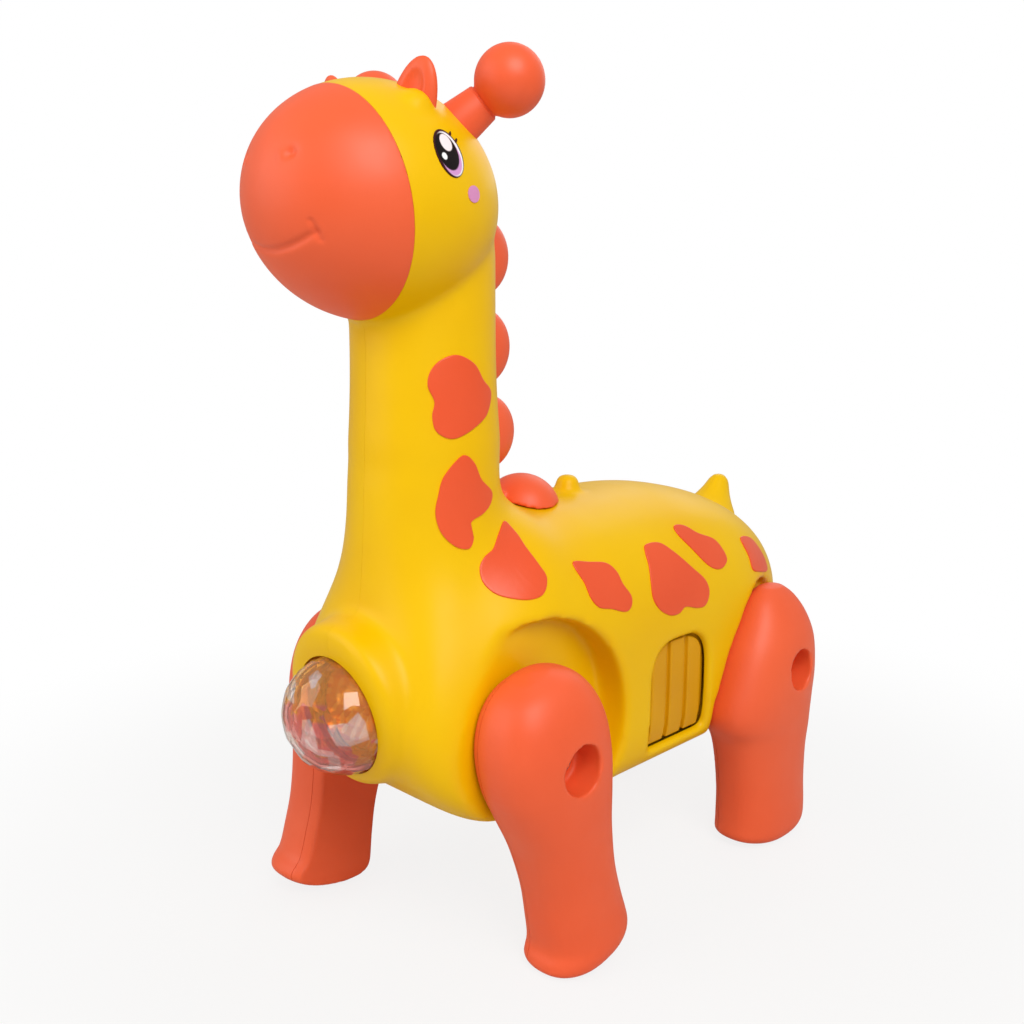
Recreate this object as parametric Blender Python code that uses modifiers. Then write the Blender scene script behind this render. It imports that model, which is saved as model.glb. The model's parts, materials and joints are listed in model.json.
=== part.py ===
"""Walking giraffe toy as its separate mouldings and works, in metres: it faces -Y, its left side is +X, floor at Z 0."""

import math

import bmesh
import bpy
from mathutils import Matrix, Vector

MM = 0.001

# Fits
SEAT_GAP = 0.3 * MM
SEAM_GAP = 0.3 * MM
RUN_GAP = 0.12 * MM
PIN_STOP_GAP = 0.4 * MM

# Body casing and neck
WALL = 2.0 * MM
BACK_Z = 120.0 * MM
BELLY_Z = 40.0 * MM
BODY_HALF_WIDTH = 37.5 * MM
RUMP_Y = 100.4 * MM
RUMP_Z = 72.0 * MM
BACK_FALL_Y = 22.0 * MM
FLANK_TURN_Y = 46.0 * MM
BELLY_RISE_Y = 48.0 * MM
NECK_Y = -51.5 * MM
NECK_LOW_RADIUS = 20.3 * MM
NECK_TOP_RADIUS = 19.2 * MM
NECK_TOP_Z = 190.0 * MM
NECK_TAPER = 28.0 * MM
NAPE_RADIUS = 22.0 * MM
NAPE_DIP = 4.0 * MM
CHEST_ANGLE = math.radians(50.5)
CHEST_SPREAD = math.radians(14.5)
BACK_ROUNDNESS = 2.4
BELLY_ROUNDNESS = 4.5
TAIL_Y = 80.0 * MM
TAIL_LENGTH = 21.0 * MM
TAIL_BASE_RADIUS = 9.5 * MM
TAIL_TIP_RADIUS = 3.3 * MM
BACK_NUB_Y = 6.0 * MM
BACK_NUB_RADIUS = 3.8 * MM
BACK_NUB_TOP_Z = 125.6 * MM

# Hips and legs
HIP_FRONT_Y = -48.0 * MM
WHEELBASE = 112.0 * MM
HIP_Z = 63.0 * MM
LEG_X = 41.3 * MM
REAR_LEG_X = 37.6 * MM
REAR_LEG_SCALE = 0.955
LEG_TOP = 24.4 * MM
REAR_LEG_TOP = 28.0 * MM
LEG_WALL = 2.0 * MM
LEG_SPLIT = 5.0 * MM
LEG_INNER = 8.0 * MM
LEG_ROUNDNESS = 2.4
STEP_ANGLE = math.radians(13.0)
SWING_ANGLE = math.radians(18.0)
DISH_FRONT_GAP = 2.3 * MM
DISH_REAR_GAP = 0.5 * MM
DISH_RADIUS_FRONT = 33.0 * MM
DISH_SHIFT = 5.5 * MM
DISH_SLOPE = math.radians(6.5)
RECESS_RADIUS = 6.7 * MM
RECESS_DEPTH = 9.0 * MM
HUB_RADIUS = 4.0 * MM
HUB_END = 3.3 * MM
LEG_SCREW_HEAD = 3.2 * MM
LEG_SCREW_RADIUS = 1.5 * MM
LEG_SCREW_END = 12.3 * MM

# Lamp on the chest
LAMP_Y = -80.3 * MM
LAMP_Z = 72.5 * MM
LENS_RADIUS = 16.5 * MM
LENS_WALL = 1.6 * MM
LENS_FLANGE_RADIUS = 18.2 * MM
COLLAR_RADIUS = 22.6 * MM
COLLAR_RISE = 1.9 * MM
SOCKET_WALL = 2.0 * MM
SOCKET_DEPTH = 8.0 * MM
COLLAR_RIM_Y = -83.0 * MM

# Side grilles
GRILLE_Y = 17.0 * MM
GRILLE_WIDTH = 28.0 * MM
GRILLE_LOW_Z = 46.5 * MM
GRILLE_TOP_Z = 79.0 * MM
GRILLE_INSET = 1.4 * MM
GRILLE_THICKNESS = 1.8 * MM
GRILLE_BAR = 3.0 * MM
GRILLE_INNER_X = 25.0 * MM
GRILLE_FLANGE = 1.6 * MM
SPEAKER_RADIUS = 11.0 * MM
SPEAKER_FRONT_DEPTH = 6.1 * MM
SPEAKER_BOX_GAP = 1.0 * MM

# Head
HEAD_Y = -67.0 * MM
HEAD_Z = 202.0 * MM
HEAD_HALF_WIDTH = 28.6 * MM
HEAD_HALF_LENGTH = 33.4 * MM
HEAD_HALF_HEIGHT = 29.0 * MM
HEAD_TILT = math.radians(6.0)
MUZZLE_Y = -77.4 * MM
MUZZLE_LEAN = math.radians(10.0)
MUZZLE_WALL = 3.4 * MM
MUZZLE_LIP = 3.0 * MM
EAR_X = 14.0 * MM
EAR_Y = -65.4 * MM
EAR_Z = 221.0 * MM
EAR_HALF_WIDTH = 6.0 * MM
EAR_HALF_THICKNESS = 2.8 * MM
EAR_HALF_HEIGHT = 14.0 * MM
HORN_BASE_X = 10.2 * MM
HORN_BASE_Y = -54.9 * MM
HORN_BASE_Z = 216.6 * MM
HORN_BALL_X = 25.8 * MM
HORN_BALL_Y = -45.0 * MM
HORN_BALL_Z = 230.3 * MM
HORN_BALL_RADIUS = 8.6 * MM
HORN_RADIUS = 6.6 * MM

# Mane
MANE_RADIUS = 11.0 * MM
MANE_STRIP_RISE = 3.0 * MM
MANE_STRIP_HALF = 2.2 * MM
MANE_PEG_RADIUS = 1.6 * MM
# Lobes of the mane: Y and Z of the middle, half thickness
MANE_LOBES = (
    (-31.6 * MM, 189.8 * MM, 5.0 * MM),
    (-31.1 * MM, 165.3 * MM, 5.0 * MM),
    (-29.8 * MM, 141.5 * MM, 6.0 * MM),
    (-14.2 * MM, 117.0 * MM, 12.0 * MM),
)

# Battery box and door
CELL_RADIUS = 7.1 * MM
CELL_LENGTH = 50.0 * MM
CELL_PITCH = 14.8 * MM
CELL_Y = 6.0 * MM
CELL_Z = 53.2 * MM
BOX_WALL = 1.5 * MM
BOX_LOW_Z = 45.4 * MM
CONTACT_ROOM = 3.0 * MM
DOOR_HALF_WIDTH = 21.0 * MM
DOOR_FRONT_Y = -20.0 * MM
DOOR_REAR_Y = 43.0 * MM
DOOR_SCREW_Y = 39.5 * MM
DOOR_SCREW_HEAD = 2.6 * MM
DOOR_SCREW_RADIUS = 1.3 * MM

# Switch
SWITCH_Y = -36.0 * MM
SWITCH_KNOB = 4.0 * MM
SWITCH_TRAVEL = 3.5 * MM

# Works
GEAR_MODULE = 0.78 * MM
LARGE_TEETH = 24
SMALL_TEETH = 8
GEAR_WIDTH = 2.4 * MM
GEAR_STEP = 3.2 * MM
FIRST_LAYER_X = 4.0 * MM
CRANK_Y = -34.0 * MM
CRANK_Z = 83.0 * MM
SECOND_ANGLE = math.radians(37.0)
FIRST_ANGLE = math.radians(80.0)
MOTOR_ANGLE = math.radians(170.0)
PLATE_INNER_X = 15.0 * MM
PLATE_THICKNESS = 1.6 * MM
POST_RADIUS = 3.0 * MM
CRANK_RADIUS = 9.5 * MM
CRANK_WIDTH = 1.6 * MM
CRANK_PIN_RADIUS = 1.5 * MM
LEVER_X = 19.6 * MM
LEVER_WIDTH = 2.4 * MM
SHAFT_RADIUS = 1.5 * MM
PIN_RADIUS = 1.0 * MM
MOTOR_WIDTH = 20.0 * MM
MOTOR_HEIGHT = 15.0 * MM
MOTOR_END_X = 7.0 * MM

# Casing screws: each place is (Y, Z)
BOSS_RADIUS = 4.2 * MM
SCREW_HEAD = 2.7 * MM
SCREW_RADIUS = 1.4 * MM
SCREW_SEAT_X = 9.0 * MM
SCREW_END_X = 9.0 * MM
SCREW_PLACES = (
    (-52.0 * MM, 158.0 * MM),
    (-61.0 * MM, 109.0 * MM),
    (4.0 * MM, 108.0 * MM),
    (82.0 * MM, 88.0 * MM),
)

# Facets
SKIN_SEGMENTS = 22
HOLLOW_SEGMENTS = 14
HOLLOW_DETAIL = 0.65
ROUND_STEPS = 14
SMALL_STEPS = 8

HIP_REAR_Y = HIP_FRONT_Y + WHEELBASE
REAR_HIP_Z = HIP_Z * REAR_LEG_SCALE
NAPE_Y = NECK_Y + NECK_LOW_RADIUS + NAPE_RADIUS
NAPE_Z = BACK_Z + NAPE_RADIUS
CELL_HALF_ROW = CELL_PITCH * 1.5 + 0.5 * MM
MESH_DISTANCE = GEAR_MODULE * (LARGE_TEETH + SMALL_TEETH) / 2.0
HEAD_CENTRE = Vector((0.0, HEAD_Y, HEAD_Z))
HEAD_RADII = Vector((HEAD_HALF_WIDTH, HEAD_HALF_LENGTH, HEAD_HALF_HEIGHT))
EAR_BASE = Vector((EAR_X, EAR_Y, EAR_Z))
HORN_BASE = Vector((HORN_BASE_X, HORN_BASE_Y, HORN_BASE_Z))
HORN_BALL = Vector((HORN_BALL_X, HORN_BALL_Y, HORN_BALL_Z))
X_AXIS = Vector((1.0, 0.0, 0.0))
Z_AXIS = Vector((0.0, 0.0, 1.0))

# Reach of the chest from the middle of the nape's curve: turn from the belly in degrees, reach in mm
CHEST_REACH = (
    (0.0, 102.0),
    (14.7, 105.5),
    (25.5, 110.6),
    (32.4, 110.6),
    (38.9, 108.0),
    (44.9, 101.7),
    (50.7, 91.5),
    (58.0, 79.3),
    (69.5, 68.6),
    (83.6, 63.2),
    (90.0, 62.6),
)

# Leg sections from the hip down: height from the hip, reach forward, reach back, half thickness
LEG_SECTIONS = (
    (23.6, 5.5, 5.5, 4.2),
    (20.6, 11.6, 11.6, 8.8),
    (15.0, 16.0, 16.0, 12.2),
    (7.0, 18.6, 18.6, 14.0),
    (-3.0, 18.6, 18.8, 14.3),
    (-13.0, 16.2, 17.0, 13.8),
    (-24.0, 13.4, 14.8, 12.8),
    (-37.0, 12.0, 13.8, 12.0),
    (-47.0, 12.6, 14.4, 12.0),
    (-55.0, 15.4, 15.4, 12.4),
    (-59.5, 15.6, 15.0, 12.0),
    (-62.0, 10.8, 11.0, 10.4),
    (-63.0, 7.2, 7.2, 7.6),
)

# The same for a rear leg, whose thigh reaches forward along the flank
REAR_LEG_SECTIONS = (
    (27.0, 5.0, 4.6, 3.4),
    (23.6, 10.2, 9.6, 6.6),
    (17.5, 15.2, 14.4, 10.4),
    (9.0, 21.0, 18.2, 13.3),
    (-2.0, 26.0, 19.5, 14.4),
    (-11.0, 29.0, 19.2, 14.2),
    (-17.0, 28.0, 18.8, 13.8),
    (-23.0, 24.0, 18.4, 13.2),
    (-32.0, 21.5, 17.6, 12.4),
    (-44.0, 19.8, 18.0, 12.0),
    (-54.0, 19.6, 18.8, 12.2),
    (-59.3, 19.4, 18.2, 12.0),
    (-62.0, 14.0, 13.5, 10.4),
    (-63.0, 9.0, 9.0, 7.6),
)


def clear_scene():
    """Removes what the startup scene holds."""
    for obj in list(bpy.data.objects):
        bpy.data.objects.remove(obj, do_unlink=True)


def new_collection(name):
    """Adds a collection to the scene."""
    collection = bpy.data.collections.new(name)
    bpy.context.scene.collection.children.link(collection)
    return collection


clear_scene()
PARTS = new_collection("walking_giraffe_toy")
CUTTERS = new_collection("cutters")


def add_object(name, bm):
    """Puts a finished bmesh into the cutters' collection; keep() moves it to the parts."""
    bmesh.ops.recalc_face_normals(bm, faces=bm.faces)
    mesh = bpy.data.meshes.new(name)
    bm.to_mesh(mesh)
    bm.free()
    obj = bpy.data.objects.new(name, mesh)
    CUTTERS.objects.link(obj)
    obj.hide_render = True
    obj.display_type = "WIRE"
    return obj


def bake(obj):
    """Replaces an object's mesh by its evaluated shape and drops the modifiers."""
    bpy.context.view_layer.update()
    graph = bpy.context.evaluated_depsgraph_get()
    mesh = bpy.data.meshes.new_from_object(obj.evaluated_get(graph))
    obj.modifiers.clear()
    obj.data = mesh
    return obj


def boolean(obj, tool, operation):
    """Combines an object with a tool body."""
    modifier = obj.modifiers.new(operation.title(), "BOOLEAN")
    modifier.operation = operation
    modifier.solver = "EXACT"
    modifier.object = tool
    return bake(obj)


def cut(obj, *tools):
    """Takes each tool body away from an object."""
    for tool in tools:
        boolean(obj, tool, "DIFFERENCE")
    return obj


def join(obj, *tools):
    """Adds each tool body to an object."""
    for tool in tools:
        boolean(obj, tool, "UNION")
    return obj


def common(obj, *tools):
    """Keeps what an object shares with each tool body."""
    for tool in tools:
        boolean(obj, tool, "INTERSECT")
    return obj


def copy_of(obj, name):
    """Copies an object with a mesh of its own."""
    made = bpy.data.objects.new(name, obj.data.copy())
    made.data.name = name
    CUTTERS.objects.link(made)
    made.hide_render = True
    made.display_type = "WIRE"
    return made


def mirrored(obj, name):
    """Copies an object to the other side of the middle plane."""
    made = copy_of(obj, name)
    made.data.transform(Matrix.Diagonal((-1.0, 1.0, 1.0, 1.0)))
    made.data.flip_normals()
    return made


def keep(obj, name, finish):
    """Makes an object one of the parts, with its own material."""
    obj.name = name
    obj.data.name = name
    CUTTERS.objects.unlink(obj)
    PARTS.objects.link(obj)
    obj.hide_render = False
    obj.display_type = "TEXTURED"
    colour, metallic, roughness = finish
    material = bpy.data.materials.new(name)
    material.use_nodes = True
    shader = material.node_tree.nodes["Principled BSDF"]
    shader.inputs["Base Color"].default_value = (*colour, 1.0)
    shader.inputs["Metallic"].default_value = metallic
    shader.inputs["Roughness"].default_value = roughness
    obj.data.materials.clear()
    obj.data.materials.append(material)
    return obj


def frame_along(origin, direction):
    """A placing matrix whose Z runs along a direction."""
    turn = direction.to_track_quat("Z", "Y").to_matrix().to_4x4()
    return Matrix.Translation(origin) @ turn


def cylinder(name, radius, start, end, steps=ROUND_STEPS, end_radius=None):
    """A cylinder or cone from one point to another."""
    bm = bmesh.new()
    span = end - start
    place = frame_along((start + end) / 2.0, span.normalized())
    bmesh.ops.create_cone(
        bm,
        cap_ends=True,
        segments=steps,
        radius1=radius,
        radius2=radius if end_radius is None else end_radius,
        depth=span.length,
        matrix=place,
    )
    return add_object(name, bm)


def x_cylinder(name, radius, y, z, low, high, steps=ROUND_STEPS):
    """A cylinder along X."""
    return cylinder(name, radius, Vector((low, y, z)), Vector((high, y, z)), steps)


def box(name, low, high):
    """A box between two corners."""
    bm = bmesh.new()
    low = Vector(low)
    size = Vector(high) - low
    place = Matrix.Translation(low + size / 2.0) @ Matrix.Diagonal((*size, 1.0))
    bmesh.ops.create_cube(bm, size=1.0, matrix=place)
    return add_object(name, bm)


def ball(name, centre, radii, turn=None, steps=ROUND_STEPS, poles="Z"):
    """An ellipsoid, with its poles on the named axis of the turned frame."""
    bm = bmesh.new()
    bmesh.ops.create_uvsphere(bm, u_segments=steps, v_segments=steps // 2, radius=1.0)
    if poles == "Y":
        bmesh.ops.rotate(bm, verts=bm.verts, matrix=Matrix.Rotation(math.pi / 2.0, 3, "X"))
    if poles == "X":
        bmesh.ops.rotate(bm, verts=bm.verts, matrix=Matrix.Rotation(math.pi / 2.0, 3, "Y"))
    place = Matrix.Translation(centre) @ (turn or Matrix.Identity(4)) @ Matrix.Diagonal((*radii, 1.0))
    bmesh.ops.transform(bm, verts=bm.verts, matrix=place)
    return add_object(name, bm)


def turned(name, profile, origin, direction, steps=ROUND_STEPS):
    """Turns a closed or axis-to-axis profile of (radius, height) about a direction."""
    bm = bmesh.new()
    verts = [bm.verts.new((radius, 0.0, height)) for radius, height in profile]
    for first, second in zip(verts, verts[1:]):
        bm.edges.new((first, second))
    if profile[0][0] > 0.0:
        bm.edges.new((verts[-1], verts[0]))
    mesh = bpy.data.meshes.new(name)
    bm.to_mesh(mesh)
    bm.free()
    obj = bpy.data.objects.new(name, mesh)
    CUTTERS.objects.link(obj)
    screw = obj.modifiers.new("Screw", "SCREW")
    screw.steps = steps
    screw.render_steps = steps
    screw.use_merge_vertices = True
    screw.merge_threshold = 0.00001
    bake(obj)
    shape = bmesh.new()
    shape.from_mesh(obj.data)
    bmesh.ops.transform(shape, verts=shape.verts, matrix=frame_along(origin, direction))
    bpy.data.objects.remove(obj, do_unlink=True)
    return add_object(name, shape)


def prism(name, outline, low, high):
    """Extrudes a closed (Y, Z) outline along X."""
    bm = bmesh.new()
    face = bm.faces.new([bm.verts.new((low, y, z)) for y, z in outline])
    grown = bmesh.ops.extrude_face_region(bm, geom=[face])
    moved = [item for item in grown["geom"] if isinstance(item, bmesh.types.BMVert)]
    bmesh.ops.translate(bm, verts=moved, vec=(high - low, 0.0, 0.0))
    return add_object(name, bm)


def loft(name, rings, start=None, end=None):
    """Skins a row of closed rings; a start or end point closes that end in a fan, else a flat cap does."""
    bm = bmesh.new()
    rows = [[bm.verts.new(point) for point in ring] for ring in rings]
    count = len(rows[0])
    for lower, upper in zip(rows, rows[1:]):
        for index in range(count):
            after = (index + 1) % count
            bm.faces.new((lower[index], lower[after], upper[after], upper[index]))
    for row, point in ((rows[0], start), (rows[-1], end)):
        if point is None:
            bm.faces.new(row)
            continue
        tip = bm.verts.new(point)
        for index in range(count):
            bm.faces.new((row[index], row[(index + 1) % count], tip))
    return add_object(name, bm)


def power(value, exponent):
    """A signed power."""
    return math.copysign(abs(value) ** exponent, value)


def chest_share(angle):
    """Share of the barrel's size that is left at an angle of the turn from barrel to neck, from 1 down to 0."""
    def curve(at):
        return 0.5 - 0.5 * math.tanh((at - CHEST_ANGLE) / CHEST_SPREAD)
    first = curve(0.0)
    last = curve(math.pi / 2.0)
    return (curve(angle) - last) / (first - last)


def chest_reach(angle):
    """Reach of the chest at an angle of the turn from barrel to neck, smooth through the set points."""
    turn = math.degrees(angle)
    last = len(CHEST_REACH) - 2
    index = next((i for i in range(last) if turn < CHEST_REACH[i + 1][0]), last)
    slopes = []
    for place in (index, index + 1):
        low = CHEST_REACH[max(place - 1, 0)]
        high = CHEST_REACH[min(place + 1, last + 1)]
        slopes.append((high[1] - low[1]) / (high[0] - low[0]))
    start, end = CHEST_REACH[index], CHEST_REACH[index + 1]
    span = end[0] - start[0]
    t = (turn - start[0]) / span
    return MM * (
        (2.0 * t ** 3 - 3.0 * t * t + 1.0) * start[1] + (t ** 3 - 2.0 * t * t + t) * span * slopes[0]
        + (3.0 * t * t - 2.0 * t ** 3) * end[1] + (t ** 3 - t * t) * span * slopes[1])


def quarter(y, start, end, rise, grow):
    """Height of a quarter ellipse that falls from a start to an end."""
    if y <= start:
        return rise + grow
    share = (y - start) / (end + grow - start)
    return (rise + grow) * math.sqrt(max(0.0, 1.0 - share * share))


def skin_section(top, bottom, half, upper, lower, segments):
    """A closed ring through a top and a bottom point of the middle plane."""
    middle = (top + bottom) / 2.0
    reach = (top - bottom) / 2.0
    ring = []
    for index in range(segments):
        angle = 2.0 * math.pi * (index + 0.5) / segments
        round_power = 2.0 / (upper if math.cos(angle) > 0.0 else lower)
        along = power(math.cos(angle), round_power)
        across = power(math.sin(angle), round_power)
        ring.append(middle + reach * along + Vector((half * across, 0.0, 0.0)))
    return ring


def skin(name, grow=0.0, segments=SKIN_SEGMENTS, detail=1.0):
    """The casing's outer form, from the rump along the barrel and up the neck, grown by a distance."""
    rings = []
    count = max(4, round(7 * detail))
    for index in range(count):
        turn = math.radians(84.0) * (1.0 - index / count)
        y = BACK_FALL_Y + (RUMP_Y + grow - BACK_FALL_Y) * math.sin(turn)
        high = RUMP_Z + quarter(y, BACK_FALL_Y, RUMP_Y, BACK_Z - RUMP_Z, grow)
        low = RUMP_Z - quarter(y, BELLY_RISE_Y, RUMP_Y, RUMP_Z - BELLY_Z, grow)
        half = quarter(y, FLANK_TURN_Y, RUMP_Y, BODY_HALF_WIDTH, grow)
        rings.append(skin_section(
            Vector((0.0, y, high)), Vector((0.0, y, low)), half, BACK_ROUNDNESS, BELLY_ROUNDNESS, segments))
    count = max(1, round(2 * detail))
    for index in range(count):
        y = BACK_FALL_Y + (NAPE_Y - BACK_FALL_Y) * index / count
        rings.append(skin_section(
            Vector((0.0, y, BACK_Z + grow)), Vector((0.0, y, BELLY_Z - grow)),
            BODY_HALF_WIDTH + grow, BACK_ROUNDNESS, BELLY_ROUNDNESS, segments))
    count = max(5, round(11 * detail))
    for index in range(count + 1):
        angle = math.pi / 2.0 * index / count
        share = chest_share(angle)
        way = Vector((0.0, -math.sin(angle), -math.cos(angle)))
        nape = Vector((0.0, NAPE_Y, NAPE_Z))
        reach = chest_reach(angle)
        inner = NAPE_RADIUS + NAPE_DIP * math.sin(2.0 * angle) ** 2 - grow
        half = NECK_LOW_RADIUS + (BODY_HALF_WIDTH - NECK_LOW_RADIUS) * share
        rings.append(skin_section(
            nape + way * inner, nape + way * (reach + grow), half + grow,
            2.0 + (BACK_ROUNDNESS - 2.0) * share, 2.0 + (BELLY_ROUNDNESS - 2.0) * share, segments))
    count = max(2, round(3 * detail))
    for index in range(1, count + 1):
        z = NAPE_Z + (NECK_TOP_Z - NAPE_Z) * index / count
        share = min(1.0, (z - NAPE_Z) / NECK_TAPER)
        radius = NECK_LOW_RADIUS + (NECK_TOP_RADIUS - NECK_LOW_RADIUS) * share * (2.0 - share) + grow
        rings.append(skin_section(
            Vector((0.0, NECK_Y + radius, z)), Vector((0.0, NECK_Y - radius, z)), radius, 2.0, 2.0, segments))
    dome = NECK_TOP_RADIUS + grow
    for index in range(1, 3):
        angle = math.pi / 6.0 * index
        radius = dome * math.cos(angle)
        z = NECK_TOP_Z + dome * math.sin(angle)
        rings.append(skin_section(
            Vector((0.0, NECK_Y + radius, z)), Vector((0.0, NECK_Y - radius, z)), radius, 2.0, 2.0, segments))
    return loft(
        name, rings, start=Vector((0.0, RUMP_Y + grow, RUMP_Z)), end=Vector((0.0, NECK_Y, NECK_TOP_Z + dome)))


def inner_skin(name):
    """The casing's inner form, one wall inside the outer one."""
    return skin(name, -WALL, HOLLOW_SEGMENTS, HOLLOW_DETAIL)


def surface_x(obj, y, z):
    """X of an object's left surface at a place on the side."""
    found, place, _, _ = obj.ray_cast(Vector((0.2, y, z)), Vector((-1.0, 0.0, 0.0)))
    if not found:
        raise ValueError("no surface there")
    return place.x


def surface_z(obj, x, y):
    """Z of an object's under surface at a place on the floor."""
    found, place, _, _ = obj.ray_cast(Vector((x, y, -0.1)), Vector((0.0, 0.0, 1.0)))
    if not found:
        raise ValueError("no surface there")
    return place.z


def arch_outline(grow):
    """Outline of a grille: straight sides and an arched top."""
    half = GRILLE_WIDTH / 2.0 + grow
    spring = GRILLE_TOP_Z - GRILLE_WIDTH / 2.0
    outline = [(GRILLE_Y - half, GRILLE_LOW_Z - grow), (GRILLE_Y + half, GRILLE_LOW_Z - grow)]
    for index in range(9):
        angle = math.pi * index / 8
        outline.append((GRILLE_Y + half * math.cos(angle), spring + half * math.sin(angle)))
    return outline


def collar_profile():
    """Profile of the lamp's collar along the lamp axis, measured forward of the lamp's middle."""
    rim = LAMP_Y - COLLAR_RIM_Y
    return (
        (0.0, rim),
        (COLLAR_RADIUS - 5.0 * MM, rim),
        (COLLAR_RADIUS - 2.6 * MM, rim - 0.9 * MM),
        (COLLAR_RADIUS - 0.9 * MM, rim - 2.8 * MM),
        (COLLAR_RADIUS, rim - 5.6 * MM),
        (COLLAR_RADIUS + 1.5 * MM, rim - 14.0 * MM),
        (0.0, rim - 22.0 * MM),
    )


YELLOW = ((0.86, 0.55, 0.02), 0.0, 0.3)
ORANGE = ((0.83, 0.14, 0.01), 0.0, 0.3)
CLEAR = ((0.92, 0.93, 0.95), 0.0, 0.1)
WHITE = ((0.85, 0.85, 0.85), 0.0, 0.4)
GREY = ((0.25, 0.25, 0.27), 0.0, 0.5)
STEEL = ((0.62, 0.62, 0.64), 1.0, 0.35)
GREEN = ((0.03, 0.25, 0.08), 0.0, 0.5)
CELL = ((0.06, 0.18, 0.07), 0.3, 0.4)

OUTER = skin("outer_skin")
FORWARD = Vector((0.0, -1.0, 0.0))
LAMP = Vector((0.0, LAMP_Y, LAMP_Z))


class Hip:
    """Where a left leg hangs: its axis, its middle plane and its size next to a front leg."""

    def __init__(self, y, z, x, scale, floor_gap):
        self.y = y
        self.z = z
        self.x = x
        self.scale = scale
        self.inner_x = x - LEG_INNER * scale
        self.floor_x = self.inner_x - floor_gap
        self.hub_end_x = x - HUB_END
        self.split_x = x - LEG_SPLIT * scale
        self.screw_end_x = x - LEG_SCREW_END
        self.recess_x = x + 14.0 * MM * scale - RECESS_DEPTH

    def rod(self, name, radius, low, high, steps=ROUND_STEPS):
        """A cylinder on the hip's axis."""
        return x_cylinder(name, radius, self.y, self.z, low, high, steps)


FRONT_HIP = Hip(HIP_FRONT_Y, HIP_Z, LEG_X, 1.0, DISH_FRONT_GAP)
REAR_HIP = Hip(HIP_REAR_Y, REAR_HIP_Z, REAR_LEG_X, REAR_LEG_SCALE, DISH_REAR_GAP)


def front_dish(name, grow):
    """The round recess that a front leg's top swings in, on the left side; its floor rises toward the chest."""
    return dish(name, FRONT_HIP, DISH_RADIUS_FRONT + grow, DISH_SHIFT, math.tan(DISH_SLOPE), grow)


def rear_dish(name, grow):
    """The recess in the outline of a rear leg's top, on the left side."""
    hip = REAR_HIP
    room = DISH_REAR_GAP + grow
    rows = [row for row in REAR_LEG_SECTIONS if row[0] > -40.0]
    front = [(hip.y - row[1] * MM * hip.scale - room, hip.z + row[0] * MM * hip.scale) for row in rows]
    back = [(hip.y + row[2] * MM * hip.scale + room, hip.z + row[0] * MM * hip.scale) for row in rows]
    top = hip.z + REAR_LEG_TOP * hip.scale + room
    outline = front[::-1] + [(hip.y - 4.0 * MM - grow, top), (hip.y + 4.0 * MM + grow, top)] + back
    return prism(name, outline, hip.floor_x - grow, 70.0 * MM)


def dish(name, hip, radius, shift, slope, grow):
    """A round recess about a hip, with a floor that may slope along Y."""
    recess = x_cylinder(name, radius, hip.y + shift, hip.z, hip.floor_x - grow, 70.0 * MM, 22)
    for vert in recess.data.vertices:
        if vert.co.x < 60.0 * MM:
            vert.co.x -= (vert.co.y - hip.y) * slope
    return recess


def clear_reach(y, z, radius):
    """X at which a post of a radius ends inside the wall of the left flank."""
    turns = [math.pi / 4.0 * index for index in range(8)]
    return min(surface_x(OUTER, y + radius * math.cos(a), z + radius * math.sin(a)) for a in turns) - 0.7 * MM


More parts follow.
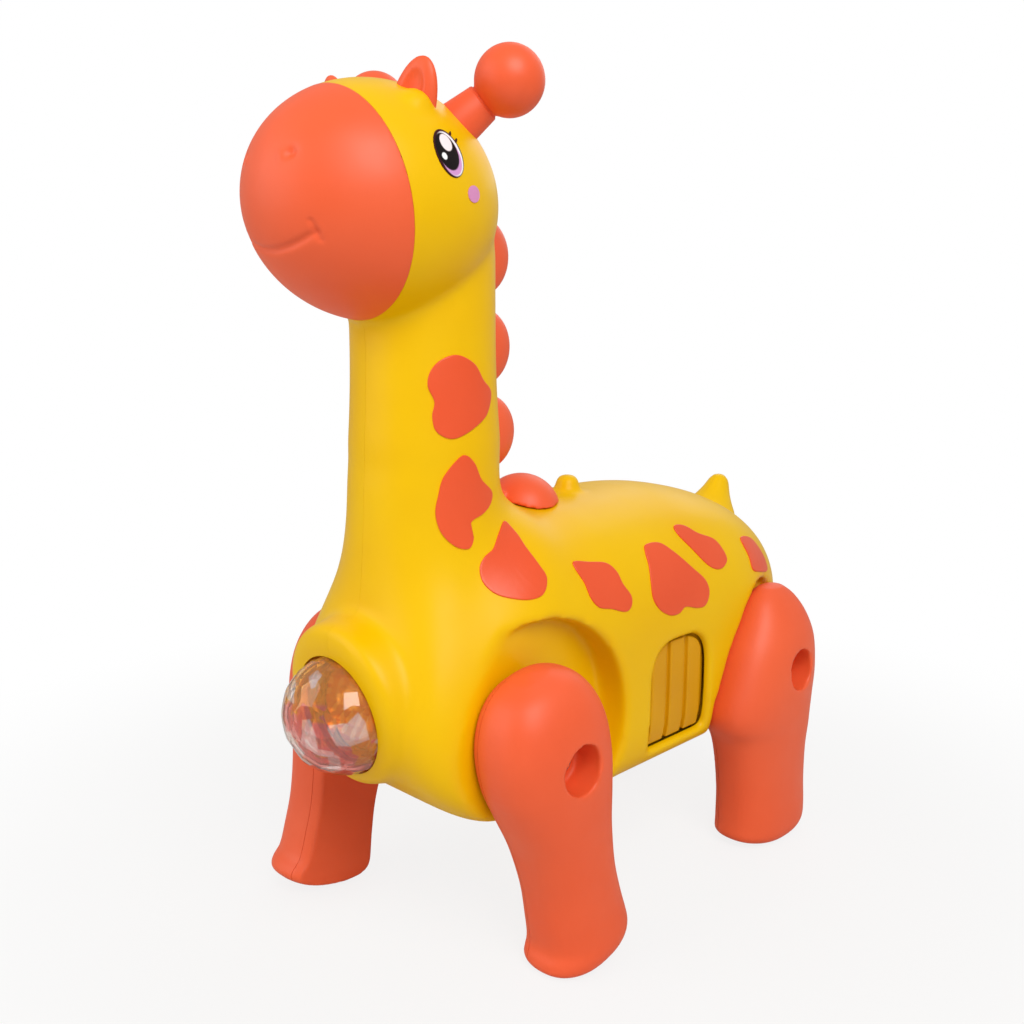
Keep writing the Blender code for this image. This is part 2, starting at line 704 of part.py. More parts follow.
def build_casing():
    """Builds both halves of the casing."""
    shell = copy_of(OUTER, "shell")
    join(shell, turned("collar", collar_profile(), LAMP + Z_AXIS * COLLAR_RISE, FORWARD, 19))
    tail_way = Vector((0.0, 0.5, 1.0)).normalized()
    tail_root = Vector((0.0, TAIL_Y, surface_top(TAIL_Y) - 7.0 * MM))
    tail = (
        (0.0, TAIL_LENGTH),
        (TAIL_TIP_RADIUS * 0.45, TAIL_LENGTH * 0.985),
        (TAIL_TIP_RADIUS * 0.75, TAIL_LENGTH * 0.935),
        (TAIL_TIP_RADIUS, TAIL_LENGTH * 0.857),
        (TAIL_BASE_RADIUS * 0.5, TAIL_LENGTH * 0.72),
        (TAIL_BASE_RADIUS * 0.66, TAIL_LENGTH * 0.57),
        (TAIL_BASE_RADIUS * 0.81, TAIL_LENGTH * 0.45),
        (TAIL_BASE_RADIUS * 0.97, TAIL_LENGTH * 0.33),
        (TAIL_BASE_RADIUS, 0.0),
        (0.0, 0.0),
    )
    join(shell, turned("tail", tail, tail_root, tail_way, 12))
    nub_rise = BACK_NUB_TOP_Z - BACK_Z
    nub = (
        (0.0, nub_rise),
        (BACK_NUB_RADIUS * 0.6, nub_rise - 0.4 * MM),
        (BACK_NUB_RADIUS * 0.92, nub_rise - 1.6 * MM),
        (BACK_NUB_RADIUS, nub_rise - 3.0 * MM),
        (BACK_NUB_RADIUS + 0.5 * MM, -3.0 * MM),
        (0.0, -3.0 * MM),
    )
    join(shell, turned("back_nub", nub, Vector((0.0, BACK_NUB_Y, BACK_Z)), Z_AXIS, 10))
    join(shell, head_form("head_form", 0.0, 22))
    cut(shell, front_dish("front_dish", 0.0), rear_dish("rear_dish", 0.0))
    hollow = inner_skin("hollow")
    cut(hollow, front_dish("front_dish_wall", WALL), rear_dish("rear_dish_wall", WALL))
    join(hollow, head_form("head_hollow", -WALL, 16))
    flange_gap = LENS_FLANGE_RADIUS + SEAT_GAP
    cut(hollow, cylinder(
        "lamp_socket", flange_gap + SOCKET_WALL, LAMP - FORWARD * SOCKET_DEPTH, LAMP + FORWARD * 0.03, 20))
    cut(shell, hollow)
    seat = prism("grille_seat", arch_outline(GRILLE_FLANGE + SEAT_GAP), GRILLE_INNER_X - SEAT_GAP, 60.0 * MM)
    cut(shell, common(seat, skin("grille_wall", -WALL)))
    cut(shell, prism("grille_opening", arch_outline(0.0), 26.0 * MM, 70.0 * MM))
    bore = LENS_RADIUS + SEAT_GAP
    reach = 30.0 * MM
    cut(shell, turned("lens_bore", (
        (0.0, reach), (bore, reach), (bore, -1.6 * MM), (flange_gap, -1.6 * MM), (flange_gap, -4.2 * MM),
        (bore, -4.2 * MM), (bore, -reach), (0.0, -reach),
    ), LAMP, FORWARD, 20))
    cut(shell, box(
        "door_opening",
        (-DOOR_HALF_WIDTH - SEAT_GAP, DOOR_FRONT_Y - SEAT_GAP, 0.0),
        (DOOR_HALF_WIDTH + SEAT_GAP, DOOR_REAR_Y + SEAT_GAP, BELLY_Z + 6.0 * MM)))
    knob = SWITCH_KNOB / 2.0 + SEAT_GAP
    cut(shell, box(
        "switch_slot",
        (-knob, SWITCH_Y - knob - SWITCH_TRAVEL, 0.0),
        (knob, SWITCH_Y + knob, BELLY_Z + 12.0 * MM)))
    cut(shell, muzzle_space("muzzle_opening", SEAM_GAP / 2.0, True))
    cut(shell, turned("horn_hole", horn_profile(SEAT_GAP), HORN_BASE, horn_way(), 12))
    cut(shell, ear_body("ear_hole", SEAT_GAP))
    for index, (y, z) in enumerate(SCREW_PLACES):
        join(shell, x_cylinder(
            f"boss_{index + 1}", BOSS_RADIUS, y, z, -1.0 * MM, clear_reach(y, z, BOSS_RADIUS), 12))
    for index, (y, z) in enumerate(plate_posts()):
        reach = clear_reach(y, z, POST_RADIUS)
        if z < HIP_Z + DISH_RADIUS_FRONT:
            reach = FRONT_HIP.floor_x - (y + POST_RADIUS - HIP_FRONT_Y) * math.tan(DISH_SLOPE) - 0.6 * MM
        join(shell, x_cylinder(
            f"plate_post_{index + 1}", POST_RADIUS, y, z, PLATE_INNER_X + PLATE_THICKNESS + SEAT_GAP, reach, SMALL_STEPS))
    join(shell, FRONT_HIP.rod(
        "hip_bearing", HUB_RADIUS + 2.5 * MM, LEVER_X + LEVER_WIDTH + SEAT_GAP, FRONT_HIP.floor_x - 1.3 * MM))
    cut(shell, FRONT_HIP.rod("hip_bore", HUB_RADIUS + RUN_GAP, 10.0 * MM, 40.0 * MM))
    join(shell, REAR_HIP.rod("rear_hub", HUB_RADIUS, REAR_HIP.floor_x - 1.2 * MM, REAR_HIP.hub_end_x))
    cut(shell, REAR_HIP.rod("rear_hub_bore", LEG_SCREW_RADIUS + RUN_GAP, 10.0 * MM, 50.0 * MM, SMALL_STEPS))
    for index, way in enumerate(mane_pegs()):
        cut(shell, cylinder(f"peg_hole_{index + 1}", MANE_PEG_RADIUS + SEAT_GAP, way[0], way[1], SMALL_STEPS))
    cut(shell, box("other_half", (-0.1, -0.2, -0.1), (SEAM_GAP / 2.0, 0.2, 0.4)))
    right = mirrored(shell, "right")
    for index, (y, z) in enumerate(SCREW_PLACES):
        cut(shell, x_cylinder(
            f"pilot_{index + 1}", SCREW_RADIUS + RUN_GAP, y, z, -1.0 * MM, SCREW_END_X + 1.0 * MM, SMALL_STEPS))
        cut(right, x_cylinder(
            f"clear_{index + 1}", SCREW_RADIUS + RUN_GAP, y, z, -SCREW_SEAT_X - 1.0 * MM, 1.0 * MM, SMALL_STEPS))
        cut(right, x_cylinder(
            f"counterbore_{index + 1}", SCREW_HEAD + SEAT_GAP, y, z, -70.0 * MM, -SCREW_SEAT_X, 12))
        head = 2.0 * MM
        screw = turned(f"casing_screw_{index + 1}", (
            (0.0, head), (SCREW_HEAD * 0.6, head), (SCREW_HEAD, head * 0.4), (SCREW_HEAD, SEAT_GAP),
            (SCREW_RADIUS, SEAT_GAP), (SCREW_RADIUS, -SCREW_SEAT_X - SCREW_END_X), (0.0, -SCREW_SEAT_X - SCREW_END_X),
        ), Vector((-SCREW_SEAT_X, y, z)), Vector((-1.0, 0.0, 0.0)), SMALL_STEPS)
        keep(screw, f"casing_screw_{index + 1}", STEEL)
    keep(shell, "body_casing_left", YELLOW)
    keep(right, "body_casing_right", YELLOW)


def surface_top(y):
    """Z of the casing's back on the middle plane."""
    found, place, _, _ = OUTER.ray_cast(Vector((0.0001, y, 0.3)), Vector((0.0, 0.0, -1.0)))
    if not found:
        raise ValueError("no back there")
    return place.z


def plate_posts():
    """Places (Y, Z) where the casing clamps the gearbox plates."""
    return (
        (CRANK_Y + 20.0 * MM, CRANK_Z + 26.0 * MM),
        (CRANK_Y - 8.0 * MM, CRANK_Z + 27.0 * MM),
        (CRANK_Y + 19.5 * MM, CRANK_Z - 7.0 * MM),
    )


def mane_pegs():
    """Start and end of each peg that holds the mane."""
    upper_y, upper_z, _ = MANE_LOBES[1]
    lower_y = MANE_LOBES[3][0]
    return (
        (Vector((0.0, upper_y, upper_z)), Vector((0.0, NECK_Y + NECK_TOP_RADIUS - 6.0 * MM, upper_z))),
        (Vector((0.0, lower_y, BACK_Z + 3.0 * MM)), Vector((0.0, lower_y - 3.0 * MM, BACK_Z - 6.0 * MM))),
    )


def build_mane():
    """Builds the crest of lobes on one strip, from the head down to the back."""
    mane = skin("mane_strip", MANE_STRIP_RISE)
    common(mane, box(
        "mane_band", (-MANE_STRIP_HALF, NECK_Y + 8.0 * MM, MANE_LOBES[3][1] + 2.0 * MM),
        (MANE_STRIP_HALF, MANE_LOBES[3][0], MANE_LOBES[0][1] - 4.0 * MM)))
    for index, (y, z, half) in enumerate(MANE_LOBES):
        lobe = ball(
            f"mane_lobe_{index + 1}", Vector((0.0, y, z)),
            (half, MANE_RADIUS, MANE_RADIUS), None, 12, "X")
        join(mane, lobe)
    cut(mane, skin("mane_seat", SEAT_GAP), head_form("mane_head_seat", SEAT_GAP, 22))
    for index, (start, end) in enumerate(mane_pegs()):
        join(mane, cylinder(f"mane_peg_{index + 1}", MANE_PEG_RADIUS, start, end, SMALL_STEPS))
    keep(mane, "mane", ORANGE)


def head_form(name, grow, steps):
    """The head's ellipsoid, grown by a distance."""
    tilt = Matrix.Rotation(-HEAD_TILT, 4, "X")
    return ball(name, HEAD_CENTRE, HEAD_RADII + Vector((grow, grow, grow)), tilt, steps, "Y")


def muzzle_space(name, shift, in_front):
    """The space in front of the muzzle's seam, or behind it, with the seam shifted back."""
    lean = Matrix.Translation((0.0, MUZZLE_Y, HEAD_CENTRE.z)) @ Matrix.Rotation(MUZZLE_LEAN, 4, "X")
    low, high = (-0.12, shift) if in_front else (shift, 0.14)
    space = box(name, (-0.06, low, -0.036), (0.06, high, 0.06))
    space.data.transform(lean)
    return space


def ear_body(name, grow):
    """The left ear's petal, grown by a distance."""
    way = Vector((0.38, 0.02, 1.0)).normalized()
    turn = way.to_track_quat("Z", "Y").to_matrix().to_4x4() @ Matrix.Rotation(math.radians(-58.0), 4, "Z")
    petal = ball(
        name, EAR_BASE, (EAR_HALF_WIDTH + grow, EAR_HALF_THICKNESS + grow, EAR_HALF_HEIGHT + grow), turn, 14)
    if grow == 0.0:
        scoop = ball(
            "ear_scoop", EAR_BASE + turn.to_3x3() @ Vector((0.0, -4.6 * MM, 7.0 * MM)),
            (4.4 * MM, 3.6 * MM, 7.5 * MM), turn, 12)
        cut(petal, scoop)
    return petal


def horn_profile(grow):
    """Profile of a horn from its root inside the head to the ball's top."""
    length = (HORN_BALL - HORN_BASE).length
    radius = HORN_BALL_RADIUS + grow
    neck = 0.5 * HORN_RADIUS + grow
    profile = [(0.0, -grow), (HORN_RADIUS + grow, -grow), (HORN_RADIUS * 0.58 + grow, length * 0.65)]
    profile.append((neck, length * 0.65 + 0.4 * MM))
    start = math.asin(min(1.0, neck / radius)) + math.radians(6.0)
    for index in range(7):
        angle = start + (math.pi - start) * index / 6
        profile.append((max(0.0, radius * math.sin(angle)), length - radius * math.cos(angle)))
    profile[-1] = (0.0, length + radius)
    return profile


def horn_way():
    """The way that the left horn points."""
    return (HORN_BALL - HORN_BASE).normalized()


def build_head():
    """Builds the head's muzzle, ears and horns."""
    muzzle = head_form("muzzle", 0.0, 22)
    cut(muzzle, muzzle_space("muzzle_rear", -SEAM_GAP / 2.0, False))
    lip = head_form("muzzle_lip", -WALL - SEAT_GAP, 16)
    cut(lip, muzzle_space("lip_rear", MUZZLE_LIP, False))
    join(muzzle, lip)
    cut(muzzle, head_form("muzzle_hollow", -MUZZLE_WALL, 14))
    keep(muzzle, "muzzle", ORANGE)
    left_ear = ear_body("ear", 0.0)
    cut(left_ear, turned("ear_horn_gap", horn_profile(SEAT_GAP), HORN_BASE, horn_way(), 12))
    right_ear = mirrored(left_ear, "ear_right")
    keep(left_ear, "ear_left", ORANGE)
    keep(right_ear, "ear_right", ORANGE)
    left_horn = turned("horn", horn_profile(0.0), HORN_BASE, horn_way(), 12)
    right_horn = mirrored(left_horn, "horn_right")
    keep(left_horn, "horn_left", ORANGE)
    keep(right_horn, "horn_right", ORANGE)


def build_lamp():
    """Builds the lamp's lens, reflector, board and light."""
    steps = 4
    outer = [
        (LENS_RADIUS * math.sin(math.pi / 2 * i / steps), LENS_RADIUS * math.cos(math.pi / 2 * i / steps))
        for i in range(steps + 1)]
    inside = LENS_RADIUS - LENS_WALL
    inner = [
        (inside * math.sin(math.pi / 2 * i / steps), inside * math.cos(math.pi / 2 * i / steps))
        for i in range(steps, -1, -1)]
    flange = [
        (LENS_RADIUS, -1.9 * MM), (LENS_FLANGE_RADIUS, -1.9 * MM), (LENS_FLANGE_RADIUS, -3.9 * MM),
        (inside, -3.9 * MM)]
    lens = turned("lens", outer + flange + inner, LAMP, FORWARD, 14)
    keep(lens, "lamp_lens", CLEAR)
    back = -13.5 * MM
    reflector = turned("reflector", (
        (LENS_RADIUS - 0.6 * MM, -4.3 * MM), (LENS_RADIUS - 0.6 * MM, -6.0 * MM), (8.0 * MM, back),
        (3.2 * MM, back), (3.2 * MM, back + 1.2 * MM), (7.0 * MM, back + 1.2 * MM),
        (LENS_RADIUS - 2.0 * MM, -4.3 * MM),
    ), LAMP, FORWARD, 14)
    keep(reflector, "lamp_reflector", WHITE)
    board = cylinder(
        "board", 9.0 * MM, LAMP + FORWARD * (back - SEAT_GAP), LAMP + FORWARD * (back - 1.9 * MM), 14)
    keep(board, "lamp_board", GREEN)
    light = turned("light", (
        (0.0, back + 5.2 * MM), (1.6 * MM, back + 4.4 * MM), (2.4 * MM, back + 2.8 * MM), (2.4 * MM, back),
        (0.0, back),
    ), LAMP, FORWARD, SMALL_STEPS)
    keep(light, "lamp_led", CLEAR)


def build_grilles():
    """Builds the grilles of both flanks; each follows the flank and holds a speaker ring."""
    face = skin("grille_face", -GRILLE_INSET)
    back = skin("grille_back", -GRILLE_INSET - GRILLE_THICKNESS)
    flange_face = skin("flange_face", -WALL - SEAT_GAP)
    bar_face = skin("bar_face", -0.3 * MM)
    grille = prism("grille", arch_outline(-SEAT_GAP), GRILLE_INNER_X, 60.0 * MM)
    common(grille, face)
    for index in range(3):
        y = GRILLE_Y + (index - 1) * GRILLE_WIDTH / 3.2
        low = GRILLE_LOW_Z + 2.5 * MM
        high = GRILLE_TOP_Z - (3.5 if index == 1 else 7.0) * MM
        bar = box(f"bar_{index + 1}", (GRILLE_INNER_X, y - GRILLE_BAR / 2.0, low), (60.0 * MM, y + GRILLE_BAR / 2.0, high))
        join(grille, common(bar, bar_face))
    flange = prism("grille_flange", arch_outline(GRILLE_FLANGE), GRILLE_INNER_X, 60.0 * MM)
    join(grille, common(flange, flange_face))
    cut(grille, back)
    middle_z = (GRILLE_LOW_Z + GRILLE_TOP_Z) / 2.0
    front_x = BODY_HALF_WIDTH - SPEAKER_FRONT_DEPTH
    back_x = CELL_HALF_ROW + BOX_WALL + SPEAKER_BOX_GAP
    depth = front_x - back_x
    bore = SPEAKER_RADIUS + SEAT_GAP
    ring = x_cylinder("speaker_ring", bore + 1.2 * MM, GRILLE_Y, middle_z, front_x - 0.6 * depth, 60.0 * MM, 14)
    ring_face = skin("ring_face", -GRILLE_INSET - GRILLE_THICKNESS / 2.0)
    common(ring, ring_face)
    cut(ring, x_cylinder("speaker_bore", bore, GRILLE_Y, middle_z, 0.0, 60.0 * MM, 14))
    join(grille, ring)
    right = mirrored(grille, "grille_right")
    keep(grille, "side_grille_left", YELLOW)
    keep(right, "side_grille_right", YELLOW)
    magnet = SPEAKER_RADIUS * 0.55
    speaker = turned("speaker", (
        (0.0, 0.68 * depth), (SPEAKER_RADIUS * 0.27, 0.74 * depth), (SPEAKER_RADIUS * 0.77, 0.9 * depth),
        (SPEAKER_RADIUS, depth), (SPEAKER_RADIUS, 0.48 * depth), (SPEAKER_RADIUS * 0.82, 0.32 * depth),
        (magnet, 0.26 * depth), (magnet, 0.0), (0.0, 0.0),
    ), Vector((back_x, GRILLE_Y, middle_z)), X_AXIS, 14)
    keep(speaker, "speaker", GREY)


def leg_rings(hip, rows, inset, segments):
    """Rings of a left leg's sections, set in by a wall."""
    rings = []
    for height, forward, back, half in rows:
        middle = hip.y + (back - forward) / 2.0 * MM * hip.scale
        length = (forward + back) / 2.0 * MM * hip.scale - inset
        width = half * MM * hip.scale - inset
        ring = []
        for index in range(segments):
            angle = 2.0 * math.pi * (index + 0.5) / segments
            ring.append(Vector((
                hip.x + width * power(math.cos(angle), 2.0 / LEG_ROUNDNESS),
                middle + length * power(math.sin(angle), 2.0 / LEG_ROUNDNESS),
                hip.z + height * MM * hip.scale)))
        rings.append(ring)
    return rings


def build_leg(place, hip, sections, top_z, moving):
    """Builds a left leg and its mirror: outer moulding, inner cover and screw for each."""
    top = Vector((hip.x, hip.y, hip.z + top_z * hip.scale))
    leg = loft(f"{place}_leg_form", leg_rings(hip, sections, 0.0, 12), start=top)
    cut(leg, box(f"{place}_inner_side", (0.0, -0.2, -0.1), (hip.inner_x, 0.2, 0.2)))
    hollow = loft(f"{place}_leg_hollow", leg_rings(hip, sections[2:10:3], LEG_WALL, 8))
    cut(hollow, box(f"{place}_cover_plate", (0.0, -0.2, -0.1), (hip.inner_x + LEG_WALL, 0.2, 0.2)))
    cut(hollow, hip.rod(f"{place}_tower", RECESS_RADIUS + LEG_WALL, hip.hub_end_x + SEAT_GAP, 80.0 * MM, 16))
    cut(leg, hollow)
    cover = copy_of(leg, f"{place}_cover")
    cut(cover, box(f"{place}_outer_half", (hip.split_x - SEAM_GAP / 2.0, -0.2, -0.1), (0.1, 0.2, 0.2)))
    join(cover, hip.rod(
        f"{place}_hub_wall", HUB_RADIUS + 2.6 * MM, hip.inner_x + LEG_WALL / 2.0, hip.split_x - SEAM_GAP, 16))
    cut(cover, hip.rod(f"{place}_hub_bore", HUB_RADIUS + SEAT_GAP, 10.0 * MM, 60.0 * MM))
    cut(leg, box(f"{place}_inner_half", (0.0, -0.2, -0.1), (hip.split_x + SEAM_GAP / 2.0, 0.2, 0.2)))
    cut(leg, hip.rod(f"{place}_recess", RECESS_RADIUS, hip.recess_x, 80.0 * MM))
    cut(leg, hip.rod(f"{place}_screw_bore", LEG_SCREW_RADIUS + RUN_GAP, 20.0 * MM, 80.0 * MM, SMALL_STEPS))
    cut(leg, hip.rod(f"{place}_hub_room", HUB_RADIUS + SEAT_GAP, 20.0 * MM, hip.hub_end_x + SEAT_GAP))
    head = 2.4 * MM
    low = hip.screw_end_x - hip.recess_x
    screw = turned(f"{place}_screw", (
        (0.0, head), (LEG_SCREW_HEAD * 0.55, head), (LEG_SCREW_HEAD * 0.9, head * 0.6),
        (LEG_SCREW_HEAD, head * 0.2), (LEG_SCREW_HEAD, SEAT_GAP / 2.0), (LEG_SCREW_RADIUS, SEAT_GAP / 2.0),
        (LEG_SCREW_RADIUS, low), (0.0, low),
    ), Vector((hip.recess_x, hip.y, hip.z)), X_AXIS, SMALL_STEPS)
    rocker = build_rocker() if moving else None
    for side, sign in (("left", 1.0), ("right", -1.0)):
        pieces = []
        for obj, kind, finish in (
            (leg, "leg_outer", ORANGE), (cover, "leg_cover", ORANGE), (screw, "leg_screw", STEEL),
            (rocker, "rocker", WHITE),
        ):
            if obj is None:
                continue
            made = copy_of(obj, kind) if sign > 0.0 else mirrored(obj, kind)
            label = f"rocker_{side}" if kind == "rocker" else f"{place}_{kind}_{side}"
            pieces.append(keep(made, label, finish))
        if moving:
            hang(f"hip_{side}", Vector((sign * hip.x, hip.y, hip.z)), pieces, sign * STEP_ANGLE)


def hang(name, place, pieces, turn=0.0):
    """Hangs pieces from an empty on their joint's axis, turned about X."""
    pivot = bpy.data.objects.new(name, None)
    pivot.empty_display_size = 0.01
    pivot.location = place
    PARTS.objects.link(pivot)
    bpy.context.view_layer.update()
    for piece in pieces:
        piece.parent = pivot
        piece.matrix_parent_inverse = pivot.matrix_world.inverted()
    pivot.rotation_euler = (turn, 0.0, 0.0)


def build_rocker():
    """Builds the left rocker: a slotted lever on the hub that carries a front leg."""
    way = Vector((0.0, CRANK_Y - HIP_FRONT_Y, CRANK_Z - HIP_Z))
    reach = way.length
    throw = reach * math.sin(SWING_ANGLE)
    way.normalize()
    aside = X_AXIS.cross(way)
    hip = Vector((0.0, HIP_FRONT_Y, HIP_Z))

    def capsule(name, start, end, radius, low, high, tip_radius=None):
        outline = []
        for centre, size, turn in ((start, radius, math.pi), (end, tip_radius or radius, 0.0)):
            for index in range(7):
                angle = turn - math.pi / 2.0 + math.pi * index / 6
                point = hip + way * (centre + size * math.cos(angle)) + aside * (size * math.sin(angle))
                outline.append((point.y, point.z))
        return prism(name, outline, low, high)

    slot_half = CRANK_PIN_RADIUS + RUN_GAP
    rocker = capsule(
        "rocker_lever", 0.0, reach + throw + 1.0 * MM, HUB_RADIUS + 1.5 * MM,
        LEVER_X, LEVER_X + LEVER_WIDTH, slot_half + 2.0 * MM)
    cut(rocker, capsule(
        "rocker_slot", reach - throw - 1.0 * MM, reach + throw + 1.0 * MM, slot_half, 0.0, 40.0 * MM))
    join(rocker, x_cylinder(
        "rocker_hub", HUB_RADIUS, HIP_FRONT_Y, HIP_Z, LEVER_X + LEVER_WIDTH / 2.0, FRONT_HIP.hub_end_x))
    cut(rocker, x_cylinder(
        "rocker_bore", LEG_SCREW_RADIUS + RUN_GAP, HIP_FRONT_Y, HIP_Z, FRONT_HIP.screw_end_x - 2.0 * MM, 60.0 * MM,
        SMALL_STEPS))
    return rocker


def build_power():
    """Builds the battery box, cells, contacts, door, its screw and the circuit board."""
    half_row = CELL_HALF_ROW
    front = CELL_Y - CELL_LENGTH / 2.0 - CONTACT_ROOM
    rear = CELL_Y + CELL_LENGTH / 2.0 + CONTACT_ROOM
    top = CELL_Z + CELL_RADIUS + SEAT_GAP
    tray = box(
        "tray", (-half_row - BOX_WALL, front - BOX_WALL, BOX_LOW_Z),
        (half_row + BOX_WALL, rear + BOX_WALL, top + BOX_WALL))
    cut(tray, box("tray_room", (-half_row, front, 0.0), (half_row, rear, top)))
    post_radius = DOOR_SCREW_RADIUS + 2.2 * MM
    join(tray, box(
        "door_post", (-post_radius, rear + BOX_WALL / 2.0, BOX_LOW_Z),
        (post_radius, DOOR_SCREW_Y + post_radius, BOX_LOW_Z + 12.0 * MM)))
    cut(tray, cylinder(
        "door_post_bore", DOOR_SCREW_RADIUS + RUN_GAP,
        Vector((0.0, DOOR_SCREW_Y, 0.0)), Vector((0.0, DOOR_SCREW_Y, BOX_LOW_Z + 10.0 * MM)), SMALL_STEPS))
    board_z = top + BOX_WALL + 4.0 * MM
    for index, (x, y) in enumerate(((-16.0, -14.0), (16.0, -14.0), (-16.0, 20.0), (16.0, 20.0))):
        join(tray, cylinder(
            f"board_post_{index + 1}", 1.8 * MM, Vector((x * MM, CELL_Y + y * MM, top + BOX_WALL / 2.0)),
            Vector((x * MM, CELL_Y + y * MM, board_z)), SMALL_STEPS))
    keep(tray, "battery_box", GREY)
    board = box(
        "circuit_board", (-20.0 * MM, CELL_Y - 17.0 * MM, board_z + SEAT_GAP),
        (20.0 * MM, CELL_Y + 23.0 * MM, board_z + SEAT_GAP + 1.6 * MM))
    keep(board, "circuit_board", GREEN)
    for index in range(3):
        x = (index - 1) * CELL_PITCH
        sign = 1.0 if index % 2 == 0 else -1.0
        half = CELL_LENGTH / 2.0
        cell = turned(f"cell_{index + 1}", (
            (0.0, half), (2.7 * MM, half), (2.7 * MM, half - 1.5 * MM), (CELL_RADIUS, half - 1.5 * MM),
            (CELL_RADIUS, -half), (0.0, -half),
        ), Vector((x, CELL_Y, CELL_Z)), Vector((0.0, sign, 0.0)), 12)
        keep(cell, f"battery_{index + 1}", CELL)
    for label, y, way in (("front", front, 1.0), ("rear", rear, -1.0)):
        start = y + way * SEAT_GAP
        face = start + way * 0.6 * MM
        low, high = sorted((start, face))
        contact = box(
            f"contact_{label}", (-half_row + 1.0 * MM, low, CELL_Z - 6.0 * MM),
            (half_row - 1.0 * MM, high, CELL_Z + 6.0 * MM))
        for index in range(3):
            x = (index - 1) * CELL_PITCH
            join(contact, cylinder(
                f"spring_{label}_{index + 1}", 4.2 * MM, Vector((x, start + way * 0.3 * MM, CELL_Z)),
                Vector((x, y + way * (CONTACT_ROOM - SEAT_GAP), CELL_Z)), SMALL_STEPS, 2.6 * MM))
        keep(contact, f"battery_contact_{label}", STEEL)
    door = box(
        "door", (-DOOR_HALF_WIDTH, DOOR_FRONT_Y, 0.0), (DOOR_HALF_WIDTH, DOOR_REAR_Y, BELLY_Z + 8.0 * MM))
    common(door, OUTER)
    cut(door, inner_skin("door_back"))
    screw_axis = Vector((0.0, DOOR_SCREW_Y, 0.0))
    head_z = BELLY_Z + 1.0 * MM
    cut(door, cylinder(
        "door_screw_bore", DOOR_SCREW_RADIUS + RUN_GAP, screw_axis, screw_axis + Z_AXIS * 0.06, SMALL_STEPS))
    cut(door, cylinder(
        "door_counterbore", DOOR_SCREW_HEAD + SEAT_GAP, screw_axis, screw_axis + Z_AXIS * head_z, 12))
    keep(door, "battery_door", YELLOW)
    screw = turned("door_screw", (
        (0.0, BOX_LOW_Z + 9.0 * MM), (DOOR_SCREW_RADIUS, BOX_LOW_Z + 8.0 * MM),
        (DOOR_SCREW_RADIUS, head_z - 0.1 * MM), (DOOR_SCREW_HEAD, head_z - 0.1 * MM),
        (DOOR_SCREW_HEAD, head_z - 0.7 * MM), (DOOR_SCREW_HEAD * 0.6, head_z - 1.0 * MM), (0.0, head_z - 1.0 * MM),
    ), screw_axis, Z_AXIS, SMALL_STEPS)
    keep(screw, "battery_door_screw", STEEL)


def build_switch():
    """Builds the slide switch in the belly: a knob with its plate, and the switch behind it."""
    inner = inner_skin("switch_seat")
    reach = SWITCH_KNOB + SWITCH_TRAVEL
    seat = max(
        surface_z(inner, x, SWITCH_Y + y)
        for x in (-5.0 * MM, 5.0 * MM) for y in (-reach, reach)) + SEAT_GAP
    half = SWITCH_KNOB / 2.0
    low = surface_z(OUTER, 0.0, SWITCH_Y) - 0.6 * MM
    slider = box("slider", (-half, SWITCH_Y - half, low), (half, SWITCH_Y + half, seat + 0.5 * MM))
    join(slider, box(
        "slider_plate", (-4.0 * MM, SWITCH_Y - reach + SWITCH_TRAVEL, seat),
        (4.0 * MM, SWITCH_Y + reach - SWITCH_TRAVEL, seat + 1.2 * MM)))
    keep(slider, "switch_slider", GREY)
    hang("switch_slide_axis", Vector((0.0, SWITCH_Y, seat)), [slider])
    frame = box(
        "switch_body", (-6.0 * MM, SWITCH_Y - reach - 1.0 * MM, seat),
        (6.0 * MM, SWITCH_Y + reach + 1.0 * MM, seat + 6.5 * MM))
    cut(frame, box(
        "switch_room", (-4.0 * MM - SEAT_GAP, SWITCH_Y - reach - SEAT_GAP, 0.0),
        (4.0 * MM + SEAT_GAP, SWITCH_Y + reach + SEAT_GAP, seat + 1.2 * MM + SEAT_GAP)))
    keep(frame, "switch_body", GREY)


def gear_outline(teeth, y, z, facing):
    """Outline of a spur gear with a tooth centred on an angle."""
    pitch = GEAR_MODULE * teeth / 2.0
    tip = pitch + 0.75 * GEAR_MODULE
    root = pitch - 1.05 * GEAR_MODULE
    step = 2.0 * math.pi / teeth
    outline = []
    for index in range(teeth):
        middle = facing + index * step
        for radius, share in ((root, -0.30), (tip, -0.12), (tip, 0.12), (root, 0.30)):
            angle = middle + share * step
            outline.append((y + radius * math.cos(angle), z + radius * math.sin(angle)))
    return outline


